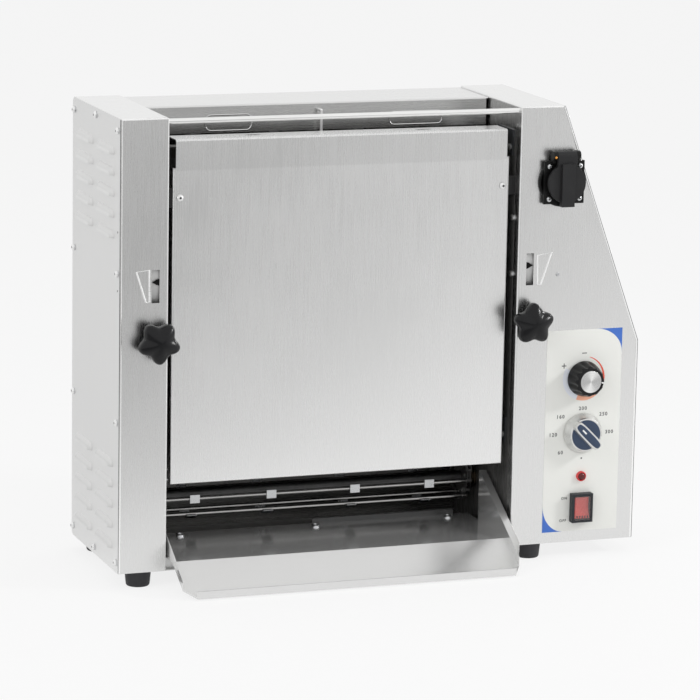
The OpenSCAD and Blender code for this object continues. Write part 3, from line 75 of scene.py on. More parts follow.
yaw, pitch, roll = (math.radians(a) for a in (19.84, 11.43, 1.05))
camera_place = at(-1136.5, -3910.2, 1085.6)
sensor_w, focal_px, picture_px = 36, 3709.9, 700
forward = Vector((math.sin(yaw) * math.cos(pitch), math.cos(yaw) * math.cos(pitch), -math.sin(pitch)))
level = Vector((math.cos(yaw), -math.sin(yaw), 0))
upright = level.cross(forward)
right = level * math.cos(roll) + upright * math.sin(roll)
up = upright * math.cos(roll) - level * math.sin(roll)
lens = bpy.data.cameras.new("camera")
lens.sensor_width = sensor_w
lens.lens = sensor_w * focal_px / picture_px
lens.clip_start, lens.clip_end = 0.1, 60
camera = bpy.data.objects.new("camera", lens)
scene.collection.objects.link(camera)
turn = Matrix((right, up, -forward)).transposed().to_4x4()
camera.matrix_world = Matrix.Translation(camera_place) @ turn
scene.camera = camera

# Materials


class Tree:
    """A material's nodes, with short ways to add and join them."""

    def __init__(self, name):
        self.material = bpy.data.materials.new(name)
        self.material.use_nodes = True
        self.nodes = self.material.node_tree.nodes
        self.links = self.material.node_tree.links
        self.nodes.clear()
        self.out = self.nodes.new("ShaderNodeOutputMaterial")

    def add(self, kind, **values):
        node = self.nodes.new("ShaderNode" + kind)
        for key, value in values.items():
            if hasattr(node, key):
                setattr(node, key, value)
            else:
                self.put(node, key.replace("_", " "), value)
        return node

    def put(self, node, socket, value):
        if isinstance(value, bpy.types.NodeSocket):
            self.links.new(value, node.inputs[socket])
        else:
            node.inputs[socket].default_value = value

    def place(self):
        """The x, y and z of the place that is shaded."""
        return self.add("SeparateXYZ", Vector=self.add("TexCoord").outputs["Object"]).outputs

    def normal(self):
        """The x, y and z of the surface normal. y is -1 on faces that look to the front."""
        return self.add("SeparateXYZ", Vector=self.add("NewGeometry").outputs["Normal"]).outputs

    def noise(self, scale, detail=4.0, stretch=(1, 1, 1)):
        co = self.add("TexCoord")
        mapped = self.add("Mapping", Vector=co.outputs["Object"], Scale=[scale * s for s in stretch])
        node = self.add("TexNoise", Vector=mapped.outputs[0], Scale=1.0, Detail=detail, Roughness=0.6)
        return node.outputs[0]

    def span(self, fac, low, high, start=0.25, end=0.75):
        """low to high while fac runs from start to end."""
        node = self.add("MapRange", Value=fac)
        for socket, value in (("From Min", start), ("From Max", end), ("To Min", low), ("To Max", high)):
            node.inputs[socket].default_value = value
        return node.outputs[0]

    def math(self, operation, a, b=0.0):
        node = self.add("Math", operation=operation)
        self.put(node, 0, a)
        self.put(node, 1, b)
        return node.outputs[0]

    def vector(self, operation, a, b=(0, 0, 0)):
        node = self.add("VectorMath", operation=operation)
        self.put(node, 0, a)
        self.put(node, 1, b)
        return node.outputs

    def blend(self, fac, a, b):
        node = self.add("Mix", data_type="RGBA")
        self.put(node, 0, fac)
        self.put(node, 6, a)
        self.put(node, 7, b)
        return node.outputs[2]


def rgb(*values):
    """A colour written as 0 to 255 display values."""
    return tuple(((v / 255 + 0.055) / 1.055) ** 2.4 if v > 10 else v / 255 / 12.92 for v in values) + (1.0,)


def steel(value):
    """A steel's grey, slightly warm."""
    return (value, value, value - 0.005, 1)


def shade(colour, factor):
    return tuple(min(1.0, c * factor) for c in colour[:3]) + (1.0,)


bay_low, bay_high = at(56.4, 14.2, -2), at(479.6, 195.4, 482)
bay_edge = 0.0003
# The dark grey laid over the inside of the bay is painted shade.
bay_shade_grey, bay_shade_black = (0.15, 0.148, 0.144, 1), (0.02, 0.02, 0.02, 1)


def in_bay(t):
    """1 within the toasting bay, where the metal is painted darker as shade, and 0 outside it."""
    place = t.place()
    inside = 1.0
    for axis in range(3):
        for limit, low, high in ((bay_low, 0.0, 1.0), (bay_high, 1.0, 0.0)):
            edge = t.span(place[axis], low, high, limit[axis] - bay_edge, limit[axis] + bay_edge)
            inside = t.math("MULTIPLY", edge, inside)
    return inside


def facing_front(t):
    """1 on faces that look to the front, and 0 on the others."""
    return t.span(t.normal()[1], 1.0, 0.0, -0.97, -0.9)


# The black laid on the bay's front-facing faces is painted shade from the door.
def bay_front(t):
    """1 on faces within the bay that look to the front, which stay in the door's shade."""
    return t.math("MULTIPLY", in_bay(t), facing_front(t))


def on_bends(t):
    """1 on the bends round a folded sheet's front, 0 on its flat faces."""
    share = t.math("ABSOLUTE", t.normal()[1])
    return t.math("MULTIPLY", t.span(share, 0.0, 1.0, 0.1, 0.3), t.span(share, 1.0, 0.0, 0.9, 0.98))


def off_side(t):
    """1 on the raised louvres, 0 on the flat of a side sheet."""
    return t.span(t.math("ABSOLUTE", t.normal()[0]), 1.0, 0.0, 0.93, 0.995)


# The band along the door's top is painted a darker tone as shade.
band_z, band_blur = at(0, 0, 457)[2], 0.0006


def on_band(t):
    """1 on the band along the door's top, painted a darker tone as shade, and 0 below it."""
    return t.span(t.place()[2], 0.0, 1.0, band_z - band_blur, band_z + band_blur)


# The near-white and lower metal on the sheets' bends are a painted highlight.
bend_highlight = steel(0.97)
bend_highlight_metal = 0.25
dull_metal = 0.45


def make(name, colour, rough, metal=0.0, vary=0.05, scale=60, stretch=(1, 1, 1), cloud=6, rough_vary=0.05,
         bump=0.0, depth=0.0002, bends=False, layers=(), dull=None, **sockets):
    """A surface with fine grain, broad clouds of tone and roughness, and a bump from the grain.

    The values after the colour are its roughness, its metal, how far the tone varies, the grain's scale and
    stretch, the clouds' scale, how far the roughness varies, and the bump's strength and depth.
    bends paints a near-white highlight on the sheet's bends and lowers their metal. layers are pairs of a
    mask and the colour laid over where it is 1.
    dull is a mask that takes the metal's mirror down where it is 1.
    """
    t = Tree(name)
    bsdf = t.add("BsdfPrincipled", Metallic=metal, **sockets)
    mirror = metal
    grain = t.noise(scale, stretch=stretch)
    clouds = t.noise(cloud, detail=3.0)
    both = t.math("ADD", t.math("MULTIPLY", grain, 0.55), t.math("MULTIPLY", clouds, 0.45))
    tone = t.span(both, 0.0, 1.0, 0.3, 0.7)
    tint = t.blend(tone, shade(colour, 1 - vary), shade(colour, 1 + vary))
    if bends:
        bend = on_bends(t)
        tint = t.blend(bend, tint, bend_highlight)
        mirror = t.span(bend, metal, bend_highlight_metal, 0.0, 1.0)
    if dull:
        mirror = t.math("MULTIPLY", t.span(dull(t), 1.0, dull_metal, 0.0, 1.0), mirror)
    t.put(bsdf, "Metallic", mirror)
    for mask, over in layers:
        tint = t.blend(mask(t), tint, over)
    t.put(bsdf, "Base Color", tint)
    t.put(bsdf, "Roughness", t.span(both, rough - rough_vary, rough + rough_vary, 0.3, 0.7))
    if bump:
        node = t.add("Bump", Strength=bump, Distance=depth, Height=grain)
        t.put(bsdf, "Normal", node.outputs[0])
    t.links.new(bsdf.outputs[0], t.out.inputs[0])
    return t.material


upright_grain, level_grain = (1, 1, 0.015), (0.015, 1, 1)
# The layer below paints shade over the inside of the bay.
bay_shade = (in_bay, bay_shade_grey)
side_steel = make("side_steel", steel(0.7), 0.26, 1.0, 0.02, 1500, upright_grain, 5, 0.04, 0.03)
# The raised louvres are painted a darker grey as shade.
vent_steel = make("vent_steel", steel(0.84), 0.42, 1.0, 0.02, 1500, upright_grain, 5, 0.04, 0.03,
                  layers=[(off_side, steel(0.7))])
door_steel = make("door_steel", steel(0.84), 0.27, 1.0, 0.02, 1500, upright_grain, 5, 0.05, 0.03,
                  bends=True, layers=[(on_band, steel(0.78))])
column_steel = make("column_steel", steel(0.76), 0.27, 1.0, 0.02, 1500, upright_grain, 5, 0.05, 0.03,
                    bends=True, layers=[bay_shade, (bay_front, bay_shade_black)], dull=in_bay)
# The rear cover's front-facing faces are painted a darker grey as shade.
hood_steel = make("hood_steel", steel(0.7), 0.27, 1.0, 0.03, 1500, level_grain, 5, 0.05, 0.05,
                  layers=[(facing_front, steel(0.6)), bay_shade])
pan_steel = make("pan_steel", steel(0.6), 0.3, 1.0, 0.05, 900, level_grain, 8, 0.05, 0.05, layers=[bay_shade])
# A near-white, partly matte steel: its brightness on ridges and screw heads is a painted highlight.
highlight_steel = make("highlight_steel", steel(0.95), 0.3, 0.35, 0.03, 900, cloud=40, bump=0.04, layers=[bay_shade])
# Steel brighter than the sheet it edges: a painted highlight.
edge_highlight = make("edge_highlight", steel(0.97), 0.2, 1.0, 0.02, 900, cloud=40)
tray_steel = make("tray_steel", steel(0.78), 0.16, 0.72, 0.03, 1200, level_grain, 6, 0.03, 0.03)
rod_steel = make("rod_steel", (0.84, 0.84, 0.83, 1), 0.14, 1.0, 0.04, 500, level_grain, 20, 0.04)
grid_steel = make("grid_steel", (0.45, 0.445, 0.44, 1), 0.2, 1.0, 0.2, 500, level_grain, 20, 0.06)
# A near-white, partly matte wire: its brightness is a painted highlight.
wire_highlight = make("wire_highlight", steel(0.93), 0.25, 0.3, 0.03, 500, upright_grain, 20, 0.04)
zinc = make("zinc", (0.6, 0.61, 0.62, 1), 0.3, 1.0, 0.1, 220, cloud=40, rough_vary=0.08, bump=0.05)
dark_steel = make("dark_steel", (0.1, 0.1, 0.1, 1), 0.45, 1.0, 0.2, 260, cloud=30, rough_vary=0.08, bump=0.08)
chain_steel = make("chain_steel", (0.28, 0.275, 0.27, 1), 0.33, 1.0, 0.2, 500, cloud=60, rough_vary=0.08,
                   bump=0.06)
motor_paint = make("motor_paint", (0.03, 0.032, 0.035, 1), 0.5, 0.0, 0.3, 900, cloud=40, bump=0.15)
cast_alu = make("cast_alu", (0.1, 0.1, 0.1, 1), 0.5, 1.0, 0.2, 300, cloud=20, rough_vary=0.08, bump=0.1)
shield_steel = make("shield_steel", steel(0.6), 0.5, 0.4, 0.04, 900, upright_grain, 30, 0.05)
bronze = make("bronze", (0.1, 0.08, 0.055, 1), 0.38, 1.0, 0.15, 500, cloud=60, bump=0.06)
rubber = make("rubber", (0.022, 0.022, 0.025, 1), 0.62, 0.0, 0.25, 1500, cloud=50, bump=0.2, depth=0.0001)
wool = make("wool", (0.75, 0.72, 0.63, 1), 0.95, 0.0, 0.12, 400, (1, 1, 3), 30, 0.03, 0.6, 0.0006)
film = make("film", (0.03, 0.026, 0.022, 1), 0.42, 0.0, 0.3, 700, (1, 1, 1), 14, 0.06, 0.1)
knob_black = make("knob_black", (0.005, 0.005, 0.006, 1), 0.24, 0.0, 0.3, 900, cloud=60, rough_vary=0.04,
                  bump=0.03, Specular_IOR_Level=0.28)
knob_slate = make("knob_slate", rgb(56, 71, 96), 0.32, 0.25, 0.12, 1400, cloud=50, rough_vary=0.05, bump=0.06)
pointer_black = make("pointer_black", (0.006, 0.006, 0.006, 1), 0.6, 0.0, 0.3, 900, cloud=60, bump=0.05,
                     Specular_IOR_Level=0.1)
plastic = make("plastic", (0.007, 0.007, 0.007, 1), 0.36, 0.0, 0.25, 1800, cloud=60, rough_vary=0.06,
               bump=0.08, depth=0.0001, Specular_IOR_Level=0.2)
graphite = make("graphite", (0.02, 0.02, 0.021, 1), 0.42, 0.0, 0.2, 1800, cloud=60, rough_vary=0.06,
                bump=0.1, depth=0.0001, Specular_IOR_Level=0.25)
switch_black = make("switch_black", rgb(44, 47, 51), 0.45, 0.0, 0.15, 1500, cloud=70, bump=0.08, depth=0.0001,
                    Specular_IOR_Level=0.3)
label_film = make("label_film", (0.925, 0.93, 0.89, 1), 0.38, 0.0, 0.015, 1500, cloud=12, rough_vary=0.05,
                  bump=0.04, depth=0.00005)
lamp_red = make("lamp_red", (0.72, 0.03, 0.03, 1), 0.1, 0.0, 0.2, 500, cloud=120, rough_vary=0.02,
                Coat_Weight=0.6, Coat_Roughness=0.03)
lamp_deep = make("lamp_deep", (0.12, 0.006, 0.008, 1), 0.08, 0.0, 0.4, 900, cloud=300, rough_vary=0.03,
                 bump=0.2)
rocker_red = make("rocker_red", (0.72, 0.06, 0.045, 1), 0.3, 0.0, 0.12, 900, cloud=120, Coat_Weight=0.3)
clear = make("clear", (0.96, 0.93, 0.93, 1), 0.14, 0.0, 0.03, 600, (4, 4, 0.1), 60, 0.04, 0.1, Alpha=0.12)
silver = make("silver", (0.72, 0.72, 0.71, 1), 0.3, 0.85, 0.05, 900, cloud=60, rough_vary=0.05, bump=0.03)
amber = make("amber", rgb(238, 160, 60), 0.25, 0.0, 0.1, 900, cloud=100)


def ink(name, *values):
    return make("ink_" + name, rgb(*values), 0.45, 0.0, 0.04, 1600, cloud=70)


ink_blue, ink_red = ink("blue", 70, 118, 208), ink("red", 246, 94, 68)
ink_orange, ink_pale = ink("orange", 254, 184, 154), ink("pale", 240, 244, 255)
ink_dark, ink_white = ink("dark", 40, 40, 44), ink("white", 246, 246, 246)

groove_scale, highlight_turn, highlight_power = 2600.0, 0.2, 4.0
spun_dark, spun_light = (0.42, 0.42, 0.42, 1), (0.98, 0.98, 0.97, 1)


def spun(name, centre):
    """Aluminium turned on a lathe: fine rings about the centre, and a painted highlight as a bright band
    across it.
    """
    t = Tree(name)
    bsdf = t.add("BsdfPrincipled", Metallic=1.0, Anisotropic=0.75)
    moved = t.vector("SUBTRACT", t.add("TexCoord").outputs["Object"], centre)[0]
    flat = t.vector("MULTIPLY", moved, (1, 0, 1))[0]
    rings = t.add("TexNoise", noise_dimensions="1D", Scale=groove_scale, Detail=3.0)
    t.put(rings, "W", t.vector("LENGTH", flat)["Value"])
    parts = t.add("SeparateXYZ", Vector=flat)
    angle = t.math("SUBTRACT", t.math("ARCTAN2", parts.outputs[0], parts.outputs[2]), highlight_turn)
    # The bright band across the cap is a painted highlight.
    highlight = t.math("POWER", t.math("ABSOLUTE", t.math("COSINE", angle)), highlight_power)
    tone = t.math("ADD", t.math("MULTIPLY", highlight, 0.75), t.math("MULTIPLY", rings.outputs[0], 0.25))
    t.put(bsdf, "Base Color", t.blend(tone, spun_dark, spun_light))
    t.put(bsdf, "Roughness", t.span(rings.outputs[0], 0.22, 0.36))
    t.put(bsdf, "Tangent", t.vector("CROSS_PRODUCT", flat, (0, 1, 0))[0])
    t.links.new(bsdf.outputs[0], t.out.inputs[0])
    return t.material


cap_metal = spun("cap_metal", at(panel_x, 0, speed_z))

# CAD nodes: finish, width of the rounding on the edges in millimetres, and nodes

finishes = (
    (pan_steel, 0.4, "base_pan"), (column_steel, 0.5, "column_left column_right"),
    (vent_steel, 0, "side_cover_left"), (side_steel, 0, "side_cover_right"),
    (hood_steel, 0.5, "rear_cover"), (door_steel, 0.5, "front_door"), (rod_steel, 0, "guard_rod"),
    (wire_highlight, 0, "lane_divider"), (tray_steel, 0.4, "bun_tray"), (rubber, 1.2, "feet"),
    (zinc, 0, "cover_screws door_screws tray_screws"), (cast_alu, 0.5, "platen"),
    (dark_steel, 0, "heating_elements"), (wool, 1, "insulation_pad"), (film, 0, "release_sheet"),
    (motor_paint, 0.4, "platen_brackets"), (dark_steel, 0.4, "drive_shaft idler_shaft cross_member"),
    (chain_steel, 0.3, "drive_sprockets idler_sprockets drive_chain"), (bronze, 0.3, "shaft_bearings"),
    (chain_steel, 0, "conveyor_chains"), (grid_steel, 0, "conveyor_rods"),
    (zinc, 0.2, "conveyor_clips motor_standoffs socket_screws"),
    (dark_steel, 0.3, "pressure_plate_left pressure_plate_right"),
    (knob_black, 1, "star_knob_left star_knob_right"),
    (zinc, 0.4, "spindle_left spindle_right thermostat"),
    (zinc, 0.3, "adjuster_yoke_left adjuster_yoke_right adjuster_brackets spindle_bushes"),
    (zinc, 0.3, "output_shaft motor_sprocket driven_sprocket"),
    (pointer_black, 0.2, "pointer_left pointer_right"), (motor_paint, 0.8, "gear_motor"),
    (label_film, 0, "control_label"), (plastic, 0.3, "speed_control"), (knob_black, 0.6, "speed_knob"),
    (cap_metal, 0.2, "speed_knob_cap"), (knob_slate, 0.6, "thermostat_knob"),
    (lamp_red, 0.3, "pilot_lamp"), (switch_black, 0.8, "power_switch"), (rocker_red, 0.5, "power_rocker"),
    (clear, 0.6, "switch_cover"), (plastic, 0.6, "socket_body"), (graphite, 0.9, "socket_lid"),
    (plastic, 0.4, "cable_gland"),
)
sharp_angle, tray_angle = 40, 15
weld_reach, flat_angle = 0.00002, 0.5


def soften(obj, width, angle=sharp_angle):
    """Rounded edges by modifiers, which leave the mesh itself as it is."""
    weld = obj.modifiers.new("join", "WELD")
    weld.merge_threshold = weld_reach
    flat = obj.modifiers.new("flat", "DECIMATE")
    flat.decimate_type = "DISSOLVE"
    flat.angle_limit = math.radians(flat_angle)
    bevel = obj.modifiers.new("edges", "BEVEL")
    bevel.width = width / 1000
    bevel.segments = 2
    bevel.limit_method = "ANGLE"
    bevel.angle_limit = math.radians(angle)
    bevel.miter_outer = "MITER_ARC"
    bevel.use_clamp_overlap = True
    normals = obj.modifiers.new("normals", "WEIGHTED_NORMAL")
    normals.keep_sharp = False


for finish, width, names in finishes:
    for name in names.split():
        node = nodes[name]
        node.data.materials.clear()
        node.data.materials.append(finish)
        if width:
            soften(node, width, tray_angle if name == "bun_tray" else sharp_angle)

# Pieces made here

double_reach = 1e-7


def piece(name, verts, faces, finish, body="housing", slot=None, replaces=(), smooth=True, angle=35):
    """A mesh that rides a body. Edges that turn by more than the angle stay sharp."""
    mesh = bpy.data.meshes.new(name)
    mesh.from_pydata([tuple(v) for v in verts], [], faces)
    made = bmesh.new()
    made.from_mesh(mesh)
    bmesh.ops.remove_doubles(made, verts=made.verts, dist=double_reach)
    bmesh.ops.recalc_face_normals(made, faces=made.faces)
    for edge in made.edges:
        if len(edge.link_faces) == 2 and edge.calc_face_angle(0) > math.radians(angle):
            edge.smooth = False
    for face in made.faces:
        face.smooth = smooth
    made.to_mesh(mesh)
    made.free()
    obj = bpy.data.objects.new(name, mesh)
    scene.collection.objects.link(obj)
    mesh.materials.append(finish)
    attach(obj, body)
    if replaces:
        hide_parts(*replaces)
    return obj


def skin(rings, closed=True, start=True, end=True):
    """Vertices and faces over a row of rings of equal length."""
    verts, faces = [], []
    count = len(rings[0])
    for ring in rings:
        verts += list(ring)
    for i in range(len(rings) - 1):
        for j in range(count if closed else count - 1):
            k = (j + 1) % count
            faces.append((i * count + j, i * count + k, (i + 1) * count + k, (i + 1) * count + j))
    if start:
        faces.append(tuple(range(count)))
    if end:
        last = (len(rings) - 1) * count
        faces.append(tuple(range(last, last + count)))
    return verts, faces


def join(*parts):
    """Several meshes' vertices and faces as one."""
    verts, faces = [], []
    for v, f in parts:
        base = len(verts)
        verts += list(v)
        faces += [tuple(base + i for i in face) for face in f]
    return verts, faces


def front_ring(x, y, z, radius, count=48):
    """A ring facing the front. radius is a number or a function of the angle, clockwise from upright."""
    ring = []
    for i in range(count):
        a = 2 * math.pi * i / count
        r = radius(a) if callable(radius) else radius
        ring.append(at(x + r * math.sin(a), y, z + r * math.cos(a)))
    return ring


def turned(x, z, profile, count=48):
    """A round piece facing the front, from (radius, y) pairs that run from back to front."""
    return skin([front_ring(x, y, z, r, count) for r, y in profile])


def circle(count):
    """The cosine and sine of even steps round a circle."""
    angles = [2 * math.pi * k / count for k in range(count)]
    return [(math.cos(a), math.sin(a)) for a in angles]


def side_ring(x, y, z, radius, count):
    """A ring facing the side."""
    return [at(x, y + radius * c, z + radius * s) for c, s in circle(count)]


def standing(x, y, z, profile, count=36):
    """A round piece on an upright axis, from (radius, height) pairs."""
    return skin([[at(x + r * c, y + r * s, z + h) for c, s in circle(count)] for r, h in profile])


def plate(outline, y_back, y_front):
    """A flat shape facing the front, from its outline in x and z."""
    return skin([[at(x, y_back, z) for x, z in outline], [at(x, y_front, z) for x, z in outline]])


def rect(low, high):
    """A rectangle's outline, from its low and high corners."""
    return [low, (high[0], low[1]), high, (low[0], high[1])]


def swung(u, v, angle):
    """The point u, v turned clockwise by an angle."""
    c, s = math.cos(angle), math.sin(angle)
    return u * c + v * s, v * c - u * s


# Star knobs: steps are how far the edge lies in from the full outline, and y

star_z, star_lobes, star_sides = 268, 5, 120
star_r, star_wave, star_round = 21.4, 3.1, 19
star_steps = [(2.5, -10), (1.0, -10.3), (0.2, -11.4), (0, -13), (0, -17.5), (0.3, -19.6), (1.2, -21.6),
              (2.8, -23.2), (5, -24.6), (8, -26.2), (11.5, -27.6), (15, -28.5), (18.5, -28.9), (20.6, -28.95)]
neck_steps = [(10, -2.5), (10, -8), (10.6, -9.6), (12.5, -10.1)]


def lobed(inset, tip):
    """A star's radius by angle, with a lobe at the tip's angle, fading to a round one far in."""
    wave = star_wave * max(0.0, 1 - inset / star_round)
    return lambda a: star_r - inset + wave * math.cos(star_lobes * (a - tip))


for side, tip in (("left", math.pi), ("right", 0.0)):
    x = knob_x[side]
    rings = [front_ring(x, y, star_z, lobed(inset, tip), star_sides) for inset, y in star_steps]
    neck = turned(x, star_z, neck_steps)
    piece("star_" + side, *join(skin(rings), neck), knob_black, "adjuster_" + side, "knob_black",
          ["star_knob_" + side], angle=50)

# Shields: arc plates on the pointer levers that fill the pointer slots at every setting

pivot_y, pivot_z = 62, 334
shield_r, shield_thick, shield_half = 60, 1, 5.6
shield_reach, shield_step = 33, 3
for side, x in knob_x.items():
    rings = []
    for step in range(-shield_reach, shield_reach + 1, shield_step):
        a = math.radians(step)
        ring = []
        for dx, r in rect((-shield_half, shield_r), (shield_half, shield_r - shield_thick)):
            ring.append(at(x + dx, pivot_y - r * math.cos(a), pivot_z + r * math.sin(a)))
        rings.append(ring)
    piece("slot_shield_" + side, *skin(rings), shield_steel, "indicator_" + side, "zinc_steel")

# Speed knob: fluted body, flat front ring and white pointer. Steps are radius, flute's depth and y

flute_count, flute_sharp, speed_sides = 12, 1.5, 160
speed_steps = [(20.2, 0, -0.9), (21, 0, -1.6), (21, 0.3, -4), (20.6, 1.9, -6.5), (18.4, 1.9, -18.2),
               (17.4, 1.0, -20.6), (16.4, 0, -21.6), (15.6, 0, -21.9), (13.5, 0, -21.9), (13.1, 0, -21.6),
               (13.1, 0, -20.4)]
needle_turn, needle_lift = math.radians(97), 0.12
needle_steps = [(13.6, -21.95, 0.7), (16.3, -21.75, 0.8), (17.6, -20.5, 0.9), (19.0, -14.5, 1.1)]


def fluted(radius, depth):
    """A fluted round's radius by angle."""
    return lambda a: radius - depth * (0.5 - 0.5 * math.cos(flute_count * a)) ** flute_sharp


rings = [front_ring(panel_x, y, speed_z, fluted(r, depth), speed_sides) for r, depth, y in speed_steps]
piece("speed_grip", *skin(rings), knob_black, "speed_dial", "knob_black", ["speed_knob"], angle=40)
needle = []
for r, y, half in needle_steps:
    for s in (-half, half):
        dx, dz = swung(s, r, needle_turn)
        needle.append(at(panel_x + dx, y - needle_lift, speed_z + dz))
piece("speed_pointer", needle, [(0, 1, 3, 2), (2, 3, 5, 4), (4, 5, 7, 6)], ink_white, "speed_dial")

# Thermostat knob: bright skirt, slate disc, bar with bright edges, index line

dial_sides, bar_sides, bar_round, bar_lean = 64, 48, 0.55, math.radians(-45)
skirt_steps = [(23.2, -0.9), (24, -1.5), (24, -2.6), (22.9, -5), (20.4, -11), (19.9, -12.4), (19.3, -12.95),
               (18, -12.95), (17.8, -12.6)]
disc_steps = [(17.9, -12.0), (17.9, -12.7), (17.4, -12.95), (14, -13.05), (7, -13.2), (0.4, -13.25)]
trim_steps = [(14.2, 42.0, -12.6), (13.8, 42.0, -17.5), (13.2, 41.8, -19.6), (12.2, 41.2, -20.6),
              (9.2, 39.2, -20.9)]
grip_steps = [(9.2, 38.8, -20.7), (9.0, 38.6, -21.15), (8.4, 38, -21.3), (2, 30, -21.4)]
index_half, index_in, index_out, index_back, index_front = 0.95, 4.6, 11.4, -21.3, -21.5
piece("thermostat_skirt", *turned(panel_x, dial_z, skirt_steps, dial_sides), silver,
      "thermostat_dial", replaces=["thermostat_knob"])
piece("thermostat_disc", *turned(panel_x, dial_z, disc_steps, dial_sides), knob_slate,
      "thermostat_dial", "knob_slate")


def bar_ring(width, length, y):
    """A bar's outline with rounded corners, turned to the knob's rest."""
    ring = []
    for c, s in circle(bar_sides):
        u = math.copysign(abs(s) ** bar_round, s) * width / 2
        v = math.copysign(abs(c) ** bar_round, c) * length / 2
        dx, dz = swung(u, v, bar_lean)
        ring.append(at(panel_x + dx, y, dial_z + dz))
    return ring


piece("thermostat_trim", *skin([bar_ring(*step) for step in trim_steps]), silver, "thermostat_dial")
piece("thermostat_grip", *skin([bar_ring(*step) for step in grip_steps]), knob_slate, "thermostat_dial",
      "knob_slate")
index = []
for u, v in rect((-index_half, index_in), (index_half, index_out)):
    dx, dz = swung(u, v, bar_lean)
    index.append((panel_x + dx, dial_z + dz))
piece("thermostat_index", *plate(index, index_back, index_front), ink_white, "thermostat_dial")

# Pilot lamp: a bright rim round a deep red lens

lamp_sides = 40
rim_steps = [(6, -0.4), (6, -2.6), (5.7, -3.3), (5.2, -3.7), (4.6, -3.6), (4.3, -3.0)]
lens_steps = [(4.4, -2.8), (4.2, -3.6), (3.4, -4.6), (2.2, -5.2), (1.0, -5.4), (0.2, -5.4)]
piece("lamp_rim", *turned(panel_x, lamp_z, rim_steps, lamp_sides), lamp_red, "housing", "lamp_red",
      ["pilot_lamp"])
piece("lamp_lens", *turned(panel_x, lamp_z, lens_steps, lamp_sides), lamp_deep, "housing", "lamp_red")

# Switch: deep frame, ribbed clear cover set in it, dark teeth behind the cover's lower edge

bezel_out, bezel_in = ((552.6, 24.6), (579.0, 59.2)), ((555.9, 27.0), (576.1, 56.4))
tube_out, tube_in = ((554, 25.1), (578, 56.1)), ((556.1, 27.2), (575.9, 55))
bezel_back, bezel_front, tube_end, bezel_round = -0.4, -9.6, 26, 0.5
cover_low, cover_high = (556.1, 27.2), (575.9, 56.2)
rib_steps, rib_wave, rib_y, rib_h = 30, 6, -10.1, 0.3
cover_side_y, cover_end_y, cover_step, cover_drop = -9.2, -4.0, 0.8, 0.9
tooth_count, tooth_x, tooth_pitch, tooth_half = 5, 559.4, 3.3, 0.7
tooth_low, tooth_high, tooth_back, tooth_front = 30, 32.6, -8.6, -9.0


def frame_ring(outer, inner, y_back, y_front):
    """A rectangular frame, from (x, z) corners low and high of its outer and inner edges."""
    loops = []
    for edge, y in ((inner, y_back), (outer, y_back), (outer, y_front), (inner, y_front), (inner, y_back)):
        loops.append([at(x, y, z) for x, z in rect(*edge)])
    return skin(loops, start=False, end=False)


bezel = frame_ring(bezel_out, bezel_in, bezel_back, bezel_front)
tube = frame_ring(tube_out, tube_in, bezel_back, tube_end)
obj = piece("switch_frame", *join(bezel, tube), switch_black, replaces=["power_switch"], smooth=False)
soften(obj, bezel_round)
ribs = []
for i in range(rib_steps + 1):
    x = cover_low[0] + (cover_high[0] - cover_low[0]) * i / rib_steps
    y = rib_y - rib_h * math.cos(2 * math.pi * i / rib_wave)
    ribs.append((x, cover_side_y if i in (0, rib_steps) else y))
rows = []
for z, drop in ((cover_low[1], None), (cover_low[1], cover_drop), (cover_low[1] + cover_step, 0),
                (cover_high[1] - cover_step, 0), (cover_high[1], cover_drop), (cover_high[1], None)):
    rows.append([at(x, cover_end_y if drop is None else y + drop, z) for x, y in ribs])
piece("switch_shell", *skin(rows, closed=False, start=False, end=False), clear, "housing", "clear_cover",
      ["switch_cover"])
teeth = []
for i in range(tooth_count):
    x = tooth_x + tooth_pitch * i
    outline = rect((x - tooth_half, tooth_low), (x + tooth_half, tooth_high))
    teeth.append(plate(outline, tooth_back, tooth_front))
piece("switch_teeth", *join(*teeth), pointer_black, smooth=False)

# Rubber feet

foot_x, foot_y, foot_sides = (28, 507), (15.5, 180.5), 40
foot_steps = [(14.2, 0), (15, -0.6), (14.9, -3), (13.9, -14), (13.5, -16.6), (12.6, -17.7), (11.6, -18),
              (6, -18), (5.4, -16.5)]
foot_places = [(x, y) for x in foot_x for y in foot_y]
for i, (x, y) in enumerate(foot_places):
    foot = standing(x, y, 0, foot_steps, foot_sides)
    piece(f"foot_{i + 1}", *foot, rubber, "housing", "foot_rubber", ["feet"])

# Screws: domed heads with a cross recess over the CAD screws. Steps are shares of radius, rise and recess

head_steps = [(1.02, -0.9, 0), (1.02, -0.25, 0), (0.94, 0.15, 0), (0.8, 0.5, 0), (0.62, 0.8, 0),
              (0.5, 0.92, 0), (0.44, 0.95, 0), (0.4, 0.97, 0), (0.34, 0.97, 0.9), (0.2, 0.97, 1.1)]
head_sides, sink_sides = 32, 16
recess_core, recess_arm, recess_depth = 0.45, 0.75, 0.3
recess_start, recess_turn, recess_sharp = 0.4, 1.3, 3
sink_rise, sink_share = 0.93, 0.34


def islands(node):
    """The node's separate solids, as arrays of points."""
    mesh = node.data
    points = np.array([v.co for v in mesh.vertices])
    keys = {}
    same = [keys.setdefault(tuple(np.round(p, 6)), i) for i, p in enumerate(points)]
    parent = list(range(len(points)))

    def root(i):
        while parent[i] != i:
            parent[i] = parent[parent[i]]
            i = parent[i]
        return i

    for face in mesh.polygons:
        first = root(same[face.vertices[0]])
        for v in face.vertices[1:]:
            parent[root(same[v])] = first
    groups = {}
    for i in same:
        groups.setdefault(root(i), set()).add(i)
    return [points[sorted(group)] for _, group in sorted(groups.items())]


